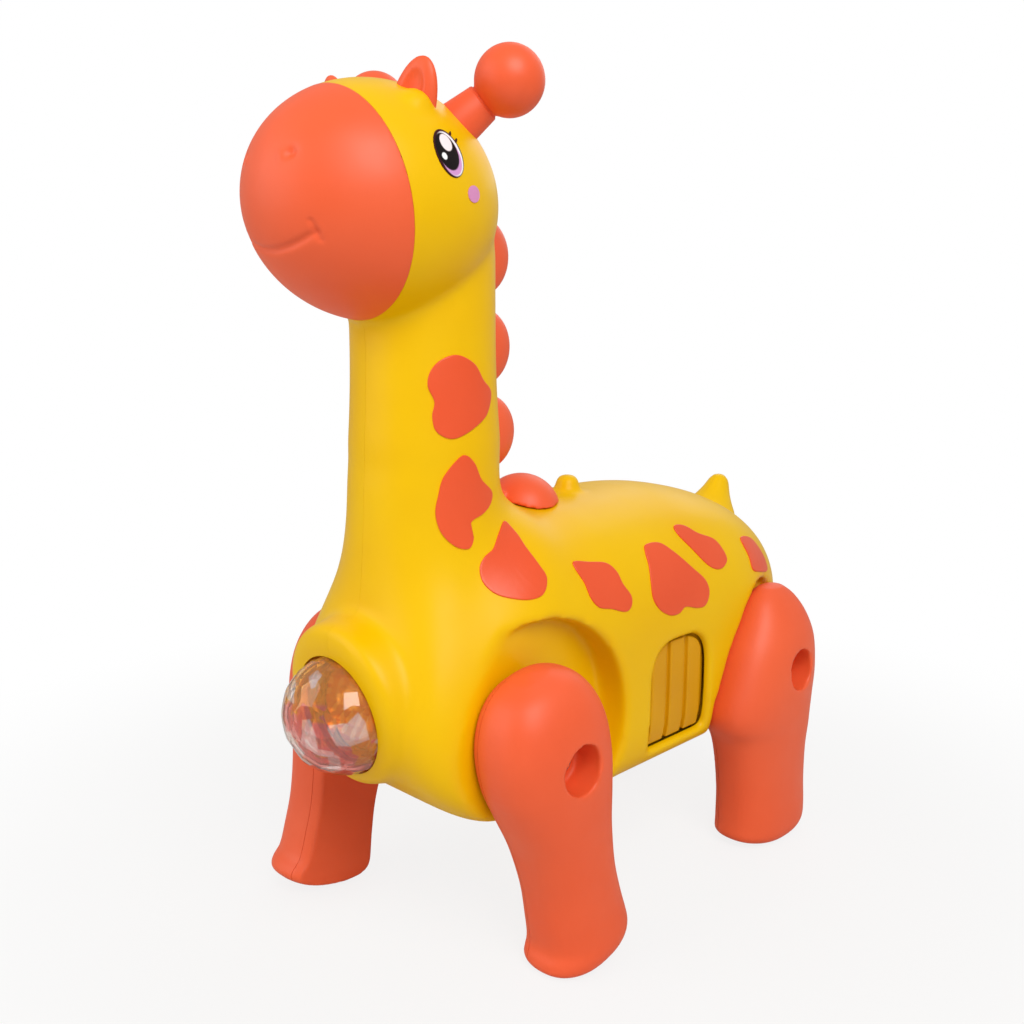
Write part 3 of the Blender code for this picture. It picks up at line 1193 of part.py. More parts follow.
def build_works():
    """Builds the gearbox: plates, motor, pinion, three gears, pins, crank shaft and cranks."""
    second_y = CRANK_Y + MESH_DISTANCE * math.cos(SECOND_ANGLE)
    second_z = CRANK_Z + MESH_DISTANCE * math.sin(SECOND_ANGLE)
    first_y = second_y + MESH_DISTANCE * math.cos(FIRST_ANGLE)
    first_z = second_z + MESH_DISTANCE * math.sin(FIRST_ANGLE)
    motor_y = first_y + MESH_DISTANCE * math.cos(MOTOR_ANGLE)
    motor_z = first_z + MESH_DISTANCE * math.sin(MOTOR_ANGLE)
    half_step = math.pi / SMALL_TEETH
    layers = [FIRST_LAYER_X + GEAR_STEP * index for index in range(3)]
    crank_gear = prism(
        "crank_gear", gear_outline(LARGE_TEETH, CRANK_Y, CRANK_Z, SECOND_ANGLE), layers[0], layers[0] + GEAR_WIDTH)
    cut(crank_gear, x_cylinder(
        "crank_gear_bore", SHAFT_RADIUS + RUN_GAP, CRANK_Y, CRANK_Z, 0.0, 30.0 * MM, SMALL_STEPS))
    keep(crank_gear, "crank_gear", WHITE)
    pairs = (
        ("second_gear", second_y, second_z, SECOND_ANGLE, FIRST_ANGLE, 0),
        ("first_gear", first_y, first_z, FIRST_ANGLE, MOTOR_ANGLE, 1),
    )
    for name, y, z, before, after, layer in pairs:
        gear = prism(
            f"{name}_small", gear_outline(SMALL_TEETH, y, z, before + math.pi + half_step),
            layers[layer], layers[layer + 1] + GEAR_WIDTH / 2.0)
        join(gear, prism(
            f"{name}_large", gear_outline(LARGE_TEETH, y, z, after), layers[layer + 1], layers[layer + 1] + GEAR_WIDTH))
        cut(gear, x_cylinder(f"{name}_bore", PIN_RADIUS + RUN_GAP, y, z, 0.0, 30.0 * MM, SMALL_STEPS))
        keep(gear, name, WHITE)
        end = PLATE_INNER_X + PLATE_THICKNESS
        pin = x_cylinder(f"{name}_pin", PIN_RADIUS, y, z, -end, end, SMALL_STEPS)
        keep(pin, f"{name}_pin", STEEL)
    pinion = prism(
        "motor_pinion", gear_outline(SMALL_TEETH, motor_y, motor_z, MOTOR_ANGLE + math.pi + half_step),
        layers[2], layers[2] + GEAR_WIDTH)
    cut(pinion, x_cylinder(
        "pinion_bore", PIN_RADIUS + RUN_GAP, motor_y, motor_z, 0.0, 30.0 * MM, SMALL_STEPS))
    keep(pinion, "motor_pinion", STEEL)
    half_y = MOTOR_WIDTH / 2.0
    half_z = MOTOR_HEIGHT / 2.0
    corner = 4.0 * MM
    outline = []
    for centre_y, centre_z, start in (
        (half_y - corner, half_z - corner, 0), (corner - half_y, half_z - corner, 1),
        (corner - half_y, corner - half_z, 2), (half_y - corner, corner - half_z, 3),
    ):
        for index in range(4):
            angle = math.pi / 2.0 * (start + index / 3)
            outline.append((
                motor_y + centre_y + corner * math.cos(angle), motor_z + centre_z + corner * math.sin(angle)))
    motor = prism("motor", outline, -PLATE_INNER_X + SEAT_GAP, MOTOR_END_X)
    join(motor, x_cylinder(
        "motor_shaft", PIN_RADIUS, motor_y, motor_z, 0.0, layers[2] + GEAR_WIDTH, SMALL_STEPS))
    keep(motor, "motor", STEEL)
    hold = PLATE_INNER_X + PLATE_THICKNESS
    crank_inner = hold + SEAT_GAP
    shaft = x_cylinder(
        "crank_shaft", SHAFT_RADIUS, CRANK_Y, CRANK_Z, -crank_inner - CRANK_WIDTH, crank_inner + CRANK_WIDTH, SMALL_STEPS)
    keep(shaft, "crank_shaft", STEEL)
    way = math.atan2(CRANK_Z - HIP_Z, CRANK_Y - HIP_FRONT_Y)
    reach = math.hypot(CRANK_Z - HIP_Z, CRANK_Y - HIP_FRONT_Y)
    throw = reach * math.sin(SWING_ANGLE)
    for side, sign, turn in (("left", 1.0, way + math.pi / 2.0), ("right", -1.0, way - math.pi / 2.0)):
        crank = x_cylinder(
            f"crank_{side}", CRANK_RADIUS, CRANK_Y, CRANK_Z, sign * crank_inner, sign * (crank_inner + CRANK_WIDTH))
        cut(crank, x_cylinder(
            f"crank_bore_{side}", SHAFT_RADIUS + RUN_GAP, CRANK_Y, CRANK_Z, -30.0 * MM, 30.0 * MM, SMALL_STEPS))
        join(crank, x_cylinder(
            f"crank_pin_{side}", CRANK_PIN_RADIUS, CRANK_Y + throw * math.cos(turn), CRANK_Z + throw * math.sin(turn),
            sign * (crank_inner + CRANK_WIDTH / 2.0), sign * (LEVER_X - PIN_STOP_GAP), SMALL_STEPS))
        keep(crank, f"crank_{side}", WHITE)
    corner_y = (CRANK_Y - 12.0 * MM, CRANK_Y + 23.5 * MM)
    corner_z = (CRANK_Z - 11.0 * MM, CRANK_Z + 29.3 * MM)
    plate = box("plate", (PLATE_INNER_X, corner_y[0], corner_z[0]), (hold, corner_y[1], corner_z[1]))
    for index, (y, z, radius) in enumerate((
        (CRANK_Y, CRANK_Z, SHAFT_RADIUS), (second_y, second_z, PIN_RADIUS), (first_y, first_z, PIN_RADIUS),
    )):
        cut(plate, x_cylinder(
            f"plate_bore_{index + 1}", radius + RUN_GAP, y, z, 0.0, 40.0 * MM, SMALL_STEPS))
    other = mirrored(plate, "plate_right")
    spacers = ((CRANK_Y - 9.5 * MM, CRANK_Z + 10.0 * MM), (CRANK_Y + 19.5 * MM, CRANK_Z - 6.0 * MM))
    for index, (y, z) in enumerate(spacers):
        join(other, x_cylinder(
            f"spacer_{index + 1}", 2.2 * MM, y, z, -PLATE_INNER_X - PLATE_THICKNESS / 2.0,
            PLATE_INNER_X - SEAT_GAP, SMALL_STEPS))
    keep(plate, "gear_plate_left", GREY)
    keep(other, "gear_plate_right", GREY)


build_casing()
build_mane()
build_head()
build_lamp()
build_grilles()
build_leg("front", FRONT_HIP, LEG_SECTIONS, LEG_TOP, True)
build_leg("rear", REAR_HIP, REAR_LEG_SECTIONS, REAR_LEG_TOP, False)
build_power()
build_switch()
build_works()
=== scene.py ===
"""Looks of the walking giraffe toy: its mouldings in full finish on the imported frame, with floor, light and camera."""

import json
import logging
import math
import random
from contextlib import contextmanager
from dataclasses import dataclass
from enum import Enum
from typing import Dict, Iterator, List, Optional, Sequence, Tuple, Union

import bmesh
import bpy
from mathutils import Matrix, Vector
from mathutils.bvhtree import BVHTree

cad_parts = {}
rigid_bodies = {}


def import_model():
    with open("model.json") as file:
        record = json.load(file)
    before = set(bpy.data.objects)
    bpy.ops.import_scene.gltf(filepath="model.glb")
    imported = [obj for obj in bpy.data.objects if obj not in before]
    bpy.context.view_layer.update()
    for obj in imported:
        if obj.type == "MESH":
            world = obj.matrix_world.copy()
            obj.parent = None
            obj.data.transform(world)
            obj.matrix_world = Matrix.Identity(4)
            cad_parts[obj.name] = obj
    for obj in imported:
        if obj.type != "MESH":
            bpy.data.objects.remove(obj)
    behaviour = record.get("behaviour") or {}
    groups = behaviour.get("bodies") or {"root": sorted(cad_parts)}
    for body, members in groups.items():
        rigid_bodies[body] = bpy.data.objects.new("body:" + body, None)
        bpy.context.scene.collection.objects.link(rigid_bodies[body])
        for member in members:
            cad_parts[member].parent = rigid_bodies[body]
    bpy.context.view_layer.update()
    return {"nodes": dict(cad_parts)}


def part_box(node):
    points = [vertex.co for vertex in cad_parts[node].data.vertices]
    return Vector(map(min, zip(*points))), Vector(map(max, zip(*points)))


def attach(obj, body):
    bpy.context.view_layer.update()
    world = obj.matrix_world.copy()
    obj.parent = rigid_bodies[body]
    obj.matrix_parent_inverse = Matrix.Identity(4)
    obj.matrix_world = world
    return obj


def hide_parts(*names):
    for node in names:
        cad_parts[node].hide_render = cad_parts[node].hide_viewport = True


LOG = logging.getLogger("giraffe_toy")
MM = 0.001
PAST_FLANK = 70.0 * MM
UP = Vector((0.0, 0.0, 1.0))
FRONT = Vector((0.0, -1.0, 0.0))
SHARP_EDGE = math.radians(50.0)
# Where most of the values of a noise lie
NOISE_SPAN = (0.3, 0.7)

Obj = bpy.types.Object
Finish = bpy.types.Material
Socket = bpy.types.NodeSocket
Ring = List[Vector]
Values = Tuple[float, ...]
Outline = Sequence[Values]


class Body(Enum):
    """Moving bodies of the toy that new pieces ride on."""

    CASING = "casing"
    LEG_LEFT = "front_leg_left"
    LEG_RIGHT = "front_leg_right"
    DOOR = "battery_door"
    SWITCH = "switch"


class Slot(Enum):
    """Material slots of the record."""

    YELLOW = "yellow_shell"
    ORANGE = "orange_moulding"
    CLEAR = "clear_moulding"
    WHITE = "white_moulding"
    GREY = "grey_moulding"
    STEEL = "steel"


class Side(Enum):
    """Side of the toy, with the sign of its X."""

    LEFT = 1.0
    RIGHT = -1.0

    @property
    def word(self) -> str:
        """The side's name in lower case."""
        return self.name.lower()


class Way(Enum):
    """How a tool body changes another body."""

    CUT = "DIFFERENCE"
    JOIN = "UNION"
    COMMON = "INTERSECT"


class Solver(Enum):
    """How a Boolean is worked out: exactly, or fast on clean meshes with many faces."""

    EXACT = "EXACT"
    FAST = "MANIFOLD"


def mm(*values: float) -> Values:
    """Turns millimetres to metres."""
    return tuple(value * MM for value in values)


def mid(y: float, z: float) -> Vector:
    """A point of the middle plane."""
    return Vector((0.0, y, z))


def bell(distance: float, width: float) -> float:
    """A bell curve of height 1."""
    return math.exp(-(distance / width) ** 2)


def signed_power(value: float, exponent: float) -> float:
    """A power that keeps the sign."""
    return math.copysign(abs(value) ** exponent, value)


def curve_through(points: Outline, per_span: int, closed: bool = False) -> List[Values]:
    """A smooth line through points.

    Args:
        points: The points, of any count of values each.
        per_span: Count of points for each span.
        closed: Whether the line runs back to its start.

    Returns:
        The points of the line.
    """
    count = len(points)
    made = []
    for index in range(count if closed else count - 1):
        places = [index + step for step in (-1, 0, 1, 2)]
        near = [points[p % count] if closed else points[min(max(p, 0), count - 1)] for p in places]
        for part in range(per_span):
            t = part / per_span
            made.append(tuple(
                0.5 * (2.0 * b + (c - a) * t + (2.0 * a - 5.0 * b + 4.0 * c - d) * t * t
                       + (3.0 * b - a - 3.0 * c + d) * t ** 3)
                for a, b, c, d in zip(*near)))
    return made if closed else [*made, tuple(points[-1])]


def deselect() -> None:
    """Leaves nothing selected, in object mode."""
    if bpy.context.object and bpy.context.object.mode != "OBJECT":
        bpy.ops.object.mode_set(mode="OBJECT")
    bpy.ops.object.select_all(action="DESELECT")


def activate(obj: Obj) -> None:
    """Makes one object the selected and active one."""
    deselect()
    obj.select_set(True)
    bpy.context.view_layer.objects.active = obj


def drop(*objs: Obj) -> None:
    """Removes objects that have done their work."""
    for obj in objs:
        bpy.data.objects.remove(obj, do_unlink=True)


@contextmanager
def editing(obj: Obj) -> Iterator[bmesh.types.BMesh]:
    """Edit mode on one object, which gives its mesh."""
    activate(obj)
    bpy.ops.object.mode_set(mode="EDIT")
    yield bmesh.from_edit_mesh(obj.data)
    bpy.ops.object.mode_set(mode="OBJECT")


def face_out() -> None:
    """Turns all faces of the mesh in edit mode outward."""
    bpy.ops.mesh.select_all(action="SELECT")
    bpy.ops.mesh.normals_make_consistent(inside=False)


def slice_off(point: Vector, way: Vector) -> None:
    """Cuts off what lies past a plane, and closes the mesh in edit mode there."""
    bpy.ops.mesh.select_all(action="SELECT")
    bpy.ops.mesh.bisect(plane_co=point, plane_no=way, use_fill=True, clear_outer=True)


def modify(obj: Obj, kind: str, **settings: object) -> Obj:
    """Adds a modifier and applies it.

    Args:
        obj: The object to change.
        kind: Type of the modifier.
        settings: Values of the modifier.

    Returns:
        The changed object.
    """
    activate(obj)
    modifier = obj.modifiers.new(kind.title(), kind)
    for name, value in settings.items():
        setattr(modifier, name, value)
    bpy.ops.object.modifier_apply(modifier=modifier.name)
    return obj


def combine(obj: Obj, way: Way, *tools: Obj, solver: Solver = Solver.EXACT) -> Obj:
    """Changes a body by tool bodies, which are then removed.

    Args:
        obj: The body to change.
        way: What the tools do.
        tools: The tool bodies.
        solver: How the Boolean is worked out.

    Returns:
        The changed body.
    """
    for tool in tools:
        modify(obj, "BOOLEAN", object=tool, operation=way.value, solver=solver.value)
        drop(tool)
    return obj


def bevel(obj: Obj, width: float, segments: int = 3) -> Obj:
    """Rounds the sharp edges of a piece."""
    return modify(
        obj, "BEVEL", width=width, segments=segments, limit_method="ANGLE", angle_limit=SHARP_EDGE)


def soft_cast(obj: Obj, voxel: float, rounds: int) -> Obj:
    """Gives a form the even mesh of a voxel size and, by rounds of smoothing, the edge radius of a moulding."""
    modify(obj, "REMESH", mode="VOXEL", voxel_size=voxel, adaptivity=0.0)
    return modify(obj, "SMOOTH", factor=0.5, iterations=rounds)


def smooth_faces(obj: Obj, angle: float = 40.0) -> Obj:
    """Shades an object smooth, with edges sharper than an angle in degrees left crisp."""
    activate(obj)
    bpy.ops.object.shade_smooth_by_angle(angle=math.radians(angle))
    return obj


def named(name: str) -> Obj:
    """Names the object that an operator has just added."""
    obj = bpy.context.object
    obj.name = obj.data.name = name
    return obj


def copy_of(obj: Obj, name: str) -> Obj:
    """Copies an object with a mesh of its own."""
    made = obj.copy()
    made.data = obj.data.copy()
    made.name = made.data.name = name
    bpy.context.scene.collection.objects.link(made)
    return made


def with_twin(obj: Obj) -> Tuple[Obj, Obj]:
    """A form of the left side and its copy on the right side."""
    twin = copy_of(obj, obj.name.replace("left", "right"))
    twin.data.transform(Matrix.Diagonal((-1.0, 1.0, 1.0, 1.0)))
    twin.data.flip_normals()
    return obj, twin


def extrude_to(obj: Obj, row: List[int], ring: Ring) -> List[int]:
    """Extrudes the selected rim of a mesh in edit mode and sets the new rim on a ring.

    Args:
        obj: Object in edit mode.
        row: Vertex numbers of the selected rim, in order.
        ring: Places of the new rim.

    Returns:
        Vertex numbers of the new rim, in the same order.
    """
    bpy.ops.mesh.extrude_region()
    bm = bmesh.from_edit_mesh(obj.data)
    bm.verts.index_update()
    order = {number: place for place, number in enumerate(row)}
    made = [0] * len(row)
    for vert in bm.verts:
        for edge in vert.link_edges if vert.select else ():
            place = order.get(edge.other_vert(vert).index)
            if place is not None:
                made[place], vert.co = vert.index, ring[place]
    return made


def close_rim(obj: Obj, tip: Optional[Vector]) -> None:
    """Closes the selected rim with a point, or with a flat face where there is none."""
    if tip is None:
        bpy.ops.mesh.edge_face_add()
        return
    bpy.ops.mesh.extrude_region()
    bpy.ops.mesh.merge(type="CENTER")
    for vert in bmesh.from_edit_mesh(obj.data).verts:
        if vert.select:
            vert.co = tip


def loft(
    name: str, rings: Sequence[Ring], start: Optional[Vector] = None, end: Optional[Vector] = None,
    close_end: bool = True,
) -> Obj:
    """Grows a form from a circle, extruded from ring to ring.

    Args:
        name: Name of the object.
        rings: Closed rings of equal count.
        start: Point that closes the first ring, or a flat face if there is none.
        end: Point that closes the last ring, or a flat face if there is none.
        close_end: Whether the last ring is closed at all.

    Returns:
        The form.
    """
    deselect()
    bpy.ops.mesh.primitive_circle_add(vertices=len(rings[0]), radius=MM)
    obj = named(name)
    with editing(obj) as bm:
        for vert, place in zip(bm.verts, rings[0]):
            vert.co = place
        bpy.ops.mesh.select_all(action="SELECT")
        first = row = list(range(len(rings[0])))
        for ring in rings[1:]:
            row = extrude_to(obj, row, ring)
        if close_end:
            close_rim(obj, end)
        bpy.ops.mesh.select_all(action="DESELECT")
        bm = bmesh.from_edit_mesh(obj.data)
        bm.verts.ensure_lookup_table()
        for number in first:
            bm.verts[number].select = True
        bm.select_flush(True)
        close_rim(obj, start)
        face_out()
    return obj


def along(origin: Vector, direction: Vector) -> Matrix:
    """A placing matrix whose Z runs along a direction."""
    return Matrix.Translation(origin) @ direction.to_track_quat("Z", "Y").to_matrix().to_4x4()


def turned(name: str, profile: Outline, origin: Vector, direction: Vector, steps: int = 64) -> Obj:
    """Turns a profile about a direction.

    Args:
        name: Name of the object.
        profile: Radii and heights from one end to the other; a radius of 0 ends the form in a point.
        origin: Place of height 0.
        direction: Way of the axis.
        steps: Count of facets round the axis.

    Returns:
        The turned form.
    """
    place = along(origin, direction)
    turns = [2.0 * math.pi * index / steps for index in range(steps)]
    rings = [
        [place @ Vector((radius * math.cos(turn), radius * math.sin(turn), height)) for turn in turns]
        for radius, height in profile if radius > 0.0]
    ends = [None if radius > 0.0 else place @ (UP * height) for radius, height in (profile[0], profile[-1])]
    return loft(name, rings, *ends)


def rod(name: str, radius: float, start: Vector, end: Vector, steps: int = 64) -> Obj:
    """A cylinder from one point to another."""
    span = end - start
    return turned(name, ((radius, 0.0), (radius, span.length)), start, span.normalized(), steps)


def sized(place: Matrix, *halves: float) -> Matrix:
    """A placing matrix with three half sizes added."""
    return place @ Matrix.Diagonal((*halves, 1.0))


def ellipsoid(name: str, place: Matrix, segments: int, rings: int) -> Obj:
    """A unit sphere set out by a placing matrix that holds its half sizes."""
    deselect()
    bpy.ops.mesh.primitive_uv_sphere_add(segments=segments, ring_count=rings, radius=1.0)
    obj = named(name)
    obj.data.transform(place)
    return obj


def block(name: str, low: Sequence[float], high: Sequence[float]) -> Obj:
    """A box between two corners."""
    deselect()
    bpy.ops.mesh.primitive_cube_add(size=1.0)
    obj = named(name)
    size = Vector(high) - Vector(low)
    obj.data.transform(sized(Matrix.Translation(Vector(low) + size / 2.0), *size))
    return obj


def slab(name: str, first_x: float, second_x: float) -> Obj:
    """All space between two places of X."""
    low, high = sorted((first_x, second_x))
    return block(name, (low, -0.3, -0.1), (high, 0.3, 0.4))


def prism(name: str, outline: Outline, low: float, high: float) -> Obj:
    """Extrudes a closed (Y, Z) outline along X."""
    deselect()
    bpy.ops.mesh.primitive_circle_add(vertices=len(outline), radius=MM, fill_type="NGON")
    obj = named(name)
    with editing(obj) as bm:
        for vert, (y, z) in zip(bm.verts, outline):
            vert.co = (low, y, z)
        bpy.ops.mesh.select_all(action="SELECT")
        bpy.ops.mesh.extrude_region()
        bpy.ops.transform.translate(value=(high - low, 0.0, 0.0))
        face_out()
    return obj


def tree_of(obj: Obj) -> BVHTree:
    """A search tree of a mesh's faces."""
    mesh = obj.data
    return BVHTree.FromPolygons([vert.co for vert in mesh.vertices], [face.vertices for face in mesh.polygons])


def fillet(obj: Obj, first: BVHTree, second: BVHTree, reach: float, rounds: int) -> None:
    """Rounds the edge where two forms meet, by smoothing what is near both of them.

    Args:
        obj: Form to round.
        first: Surface of one form.
        second: Surface of the other form.
        reach: How far from the edge the rounding goes.
        rounds: Rounds of smoothing.
    """
    group = obj.vertex_groups.new(name="fillet")
    for vert in obj.data.vertices:
        near = second.find_nearest(vert.co, 3.0 * reach)[3]
        far = None if near is None else first.find_nearest(vert.co, 3.0 * reach)[3]
        weight = 0.0 if far is None else bell(math.hypot(near, far), reach)
        if weight > 0.02:
            group.add([vert.index], weight, "REPLACE")
    modify(obj, "SMOOTH", factor=0.5, iterations=rounds, vertex_group=group.name)
    obj.vertex_groups.clear()


def dress(obj: Obj, material: Finish, body: Body, slot: Slot, *nodes: str) -> None:
    """Gives a finished piece its material and body, and hides the nodes that it stands for.

    Args:
        obj: The piece.
        material: Its finish.
        body: Body that it rides on.
        slot: Slot of the record; not used.
        nodes: Nodes that it replaces.
    """
    obj.data.materials.clear()
    obj.data.materials.append(material)
    for face in obj.data.polygons:
        face.material_index = 0
    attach(obj, body.value)
    if nodes:
        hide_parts(*nodes)
    LOG.info("%s: %d faces on %s", obj.name, len(obj.data.polygons), body.value)


def dress_pair(obj: Obj, material: Finish, slot: Slot, stem: str) -> None:
    """Dresses a piece of the left side and its twin, which stand for the two nodes of a stem."""
    for piece, side in zip(with_twin(obj), Side):
        dress(piece, material, Body.CASING, slot, f"{stem}_{side.word}")


def linear(colour: str) -> Values:
    """Turns six hex digits of sRGB to linear red, green, blue and an alpha of 1."""
    values = [int(colour[place:place + 2], 16) / 255.0 for place in (0, 2, 4)]
    return (*(v / 12.92 if v <= 0.04045 else ((v + 0.055) / 1.055) ** 2.4 for v in values), 1.0)


def add_node(
    tree: bpy.types.NodeTree, kind: str, settings: Optional[Dict] = None, links: Optional[Dict] = None,
) -> bpy.types.Node:
    """Adds a shader node with its settings and links.

    Args:
        tree: Node tree.
        kind: Type of the node.
        settings: Values of its sockets, or of its properties where no socket has the name.
        links: Output sockets that feed its inputs.

    Returns:
        The node.
    """
    node = tree.nodes.new(f"ShaderNode{kind}")
    for name, value in (settings or {}).items():
        if isinstance(name, int) or name in node.inputs:
            node.inputs[name].default_value = value
        else:
            setattr(node, name, value)
    for name, source in (links or {}).items():
        tree.links.new(source, node.inputs[name])
    return node


def seen_directly(tree: bpy.types.NodeTree) -> Socket:
    """1 for what the camera sees, itself or through the lens, and 0 for what only lights other things."""
    path = add_node(tree, "LightPath").outputs
    return add_node(
        tree, "Math", {"operation": "MAXIMUM"}, {0: path["Is Camera Ray"], 1: path["Is Transmission Ray"]}).outputs[0]


class Nodes:
    """The node tree of a new material, with the steps that finishes share."""

    def __init__(self, name: str) -> None:
        """Starts a material of a name."""
        self.material = bpy.data.materials.new(name)
        self.material.use_nodes = True
        self.tree = self.material.node_tree
        self.shader = self.tree.nodes["Principled BSDF"]
        self.where = self.add("TexCoord").outputs["Object"]

    def add(self, kind: str, settings: Optional[Dict] = None, links: Optional[Dict] = None) -> bpy.types.Node:
        """Adds a node to the tree."""
        return add_node(self.tree, kind, settings, links)

    def noise(self, size: float, detail: float) -> Socket:
        """Noise with clouds of a size."""
        return self.add("TexNoise", {"Scale": 1.0 / size, "Detail": detail}, {"Vector": self.where}).outputs["Fac"]

    def ramp(self, source: Socket, low: float, high: float, first: float = 0.0, last: float = 1.0) -> Socket:
        """Maps one span of a value to another."""
        spans = {"From Min": low, "From Max": high, "To Min": first, "To Max": last}
        return self.add("MapRange", spans, {"Value": source}).outputs["Result"]

    def mix(self, share: Socket, under: Union[str, Socket], over: str) -> Socket:
        """Lays a colour over another one by a share."""
        node = self.add("Mix", {"data_type": "RGBA", 7: linear(over)}, {0: share})
        self.fill(node.inputs[6], under)
        return node.outputs[2]

    def bump(self, height: Socket, depth: float, strength: float = 1.0) -> Socket:
        """Fine relief of a depth."""
        return self.add("Bump", {"Strength": strength, "Distance": depth}, {"Height": height}).outputs["Normal"]

    def patches(self, size: float) -> bpy.types.NodeOutputs:
        """Random tones on patches of a size."""
        patch = self.add("TexVoronoi", {"Scale": 1.0 / size}, {"Vector": self.where})
        return self.add("SeparateColor", None, {0: patch.outputs["Color"]}).outputs

    def fill(self, socket: Socket, value: Union[float, str, Socket]) -> None:
        """Feeds a socket, or sets it to a value or to a hex colour."""
        if isinstance(value, Socket):
            self.tree.links.new(value, socket)
        else:
            socket.default_value = linear(value) if isinstance(value, str) else value

    def finish(self, values: Dict[str, Union[float, str, Socket]]) -> Finish:
        """Fills the shader's sockets and gives the material."""
        for name, value in values.items():
            self.fill(self.shader.inputs[name], value)
        return self.material


@dataclass(frozen=True)
class Moulding:
    """An injection-moulded plastic: an even colour with faint clouds of pigment, and a satin skin.

    The skin copies a finely blasted steel mould, so highlights are broad and soft, and its grain is only a few
    hundredths of a millimetre deep. Fingers leave it unevenly glossy.
    """

    name: str
    colour: str
    cloud_colour: str
    roughness: float
    gloss: float = 0.4
    ior: float = 1.53
    grain: float = 0.9 * MM
    grain_depth: float = 0.012 * MM
    cloud: float = 34.0 * MM
    smudge: float = 13.0 * MM
    smudge_spread: float = 0.05

    def material(self) -> Finish:
        """Builds the finish."""
        nodes, rough, spread = Nodes(self.name), self.roughness, self.smudge_spread
        cloud, smudge = nodes.noise(self.cloud, 2.0), nodes.noise(self.smudge, 3.0)
        return nodes.finish({
            "Base Color": nodes.mix(nodes.ramp(cloud, *NOISE_SPAN), self.colour, self.cloud_colour),
            "Roughness": nodes.ramp(smudge, *NOISE_SPAN, rough - spread, rough + spread),
            "Normal": nodes.bump(nodes.noise(self.grain, 2.0), self.grain_depth),
            "IOR": self.ior, "Specular IOR Level": self.gloss})


@dataclass(frozen=True)
class ClearStyrene:
    """Clear polystyrene, moulded and polished: it bends what lies behind it, and each flat facet mirrors a lamp.

    Its tints are painted reflection of the colours round it: the first one high on the lamp, the second one, near
    white, painted highlights in scattered patches.
    """

    name: str
    colour: str
    ior: float = 1.59
    haze: float = 0.0
    tints: Tuple[str, ...] = ()
    tint_from: Values = (0.95, 0.72)
    tint_edge: float = 0.03
    span: Values = mm(60.0, 84.0)
    patch: float = 4.5 * MM
    ripple: float = 2.2 * MM
    ripple_depth: float = 0.02 * MM

    def material(self) -> Finish:
        """Builds the finish."""
        nodes, colour = Nodes(self.name), self.colour
        if self.tints:
            tones = nodes.patches(self.patch)
            height = nodes.ramp(nodes.add("SeparateXYZ", None, {0: nodes.where}).outputs["Z"], *self.span)
            mean = nodes.add("Math", {"operation": "ADD"}, {0: height, 1: tones["Red"]}).outputs[0]
            for tint, source, low in zip(self.tints, (mean, tones["Green"]), self.tint_from):
                colour = nodes.mix(nodes.ramp(source, low, low + self.tint_edge), colour, tint)
        return nodes.finish({
            "Base Color": colour, "Normal": nodes.bump(nodes.noise(self.ripple, 1.0), self.ripple_depth),
            "Roughness": 0.02, "Transmission Weight": 1.0 - self.haze, "IOR": self.ior})


@dataclass(frozen=True)
class PlatedMetal:
    """Pressed or turned metal with a thin plating: grey mirror tones, with fine tool marks that spread them."""

    name: str
    colour: str
    roughness: float
    mark: float = 0.35 * MM
    spread: Values = (-0.08, 0.1)

    def material(self) -> Finish:
        """Builds the finish."""
        nodes = Nodes(self.name)
        rough = [self.roughness + spread for spread in self.spread]
        return nodes.finish({
            "Base Color": self.colour, "Metallic": 1.0,
            "Roughness": nodes.ramp(nodes.noise(self.mark, 3.0), *NOISE_SPAN, *rough)})


@dataclass(frozen=True)
class TintedFilm:
    """A bright film with patches of three tints, painted reflection of the parts round the lamp, which the facets in
    front of it break into many colours.
    """

    name: str
    colours: Tuple[str, str, str]
    patch: float
    roughness: float
    metallic: float = 0.35
    tint_from: Values = (0.5, 0.68)
    tint_edge: float = 0.06

    def material(self) -> Finish:
        """Builds the finish."""
        nodes, colour = Nodes(self.name), self.colours[0]
        tones = nodes.patches(self.patch)
        for socket, tint, low in zip(("Red", "Green"), self.colours[1:], self.tint_from):
            colour = nodes.mix(nodes.ramp(tones[socket], low, low + self.tint_edge), colour, tint)
        return nodes.finish({"Base Color": colour, "Roughness": self.roughness, "Metallic": self.metallic})


@dataclass(frozen=True)
class BandedSleeve:
    """A printed film or a lacquered board, with bands of a second tone along Y."""

    name: str
    colour: str
    band_colour: str
    pitch: float
    roughness: float
    metallic: float = 0.0
    edge: Values = (0.75, 0.82)

    def material(self) -> Finish:
        """Builds the finish."""
        nodes = Nodes(self.name)
        wave = nodes.add(
            "TexWave", {"bands_direction": "Y", "Scale": math.pi / (10.0 * self.pitch), "Distortion": 0.4},
            {"Vector": nodes.where})
        band = nodes.ramp(wave.outputs["Fac"], *self.edge)
        return nodes.finish({
            "Base Color": nodes.mix(band, self.colour, self.band_colour), "Roughness": self.roughness,
            "Metallic": self.metallic})


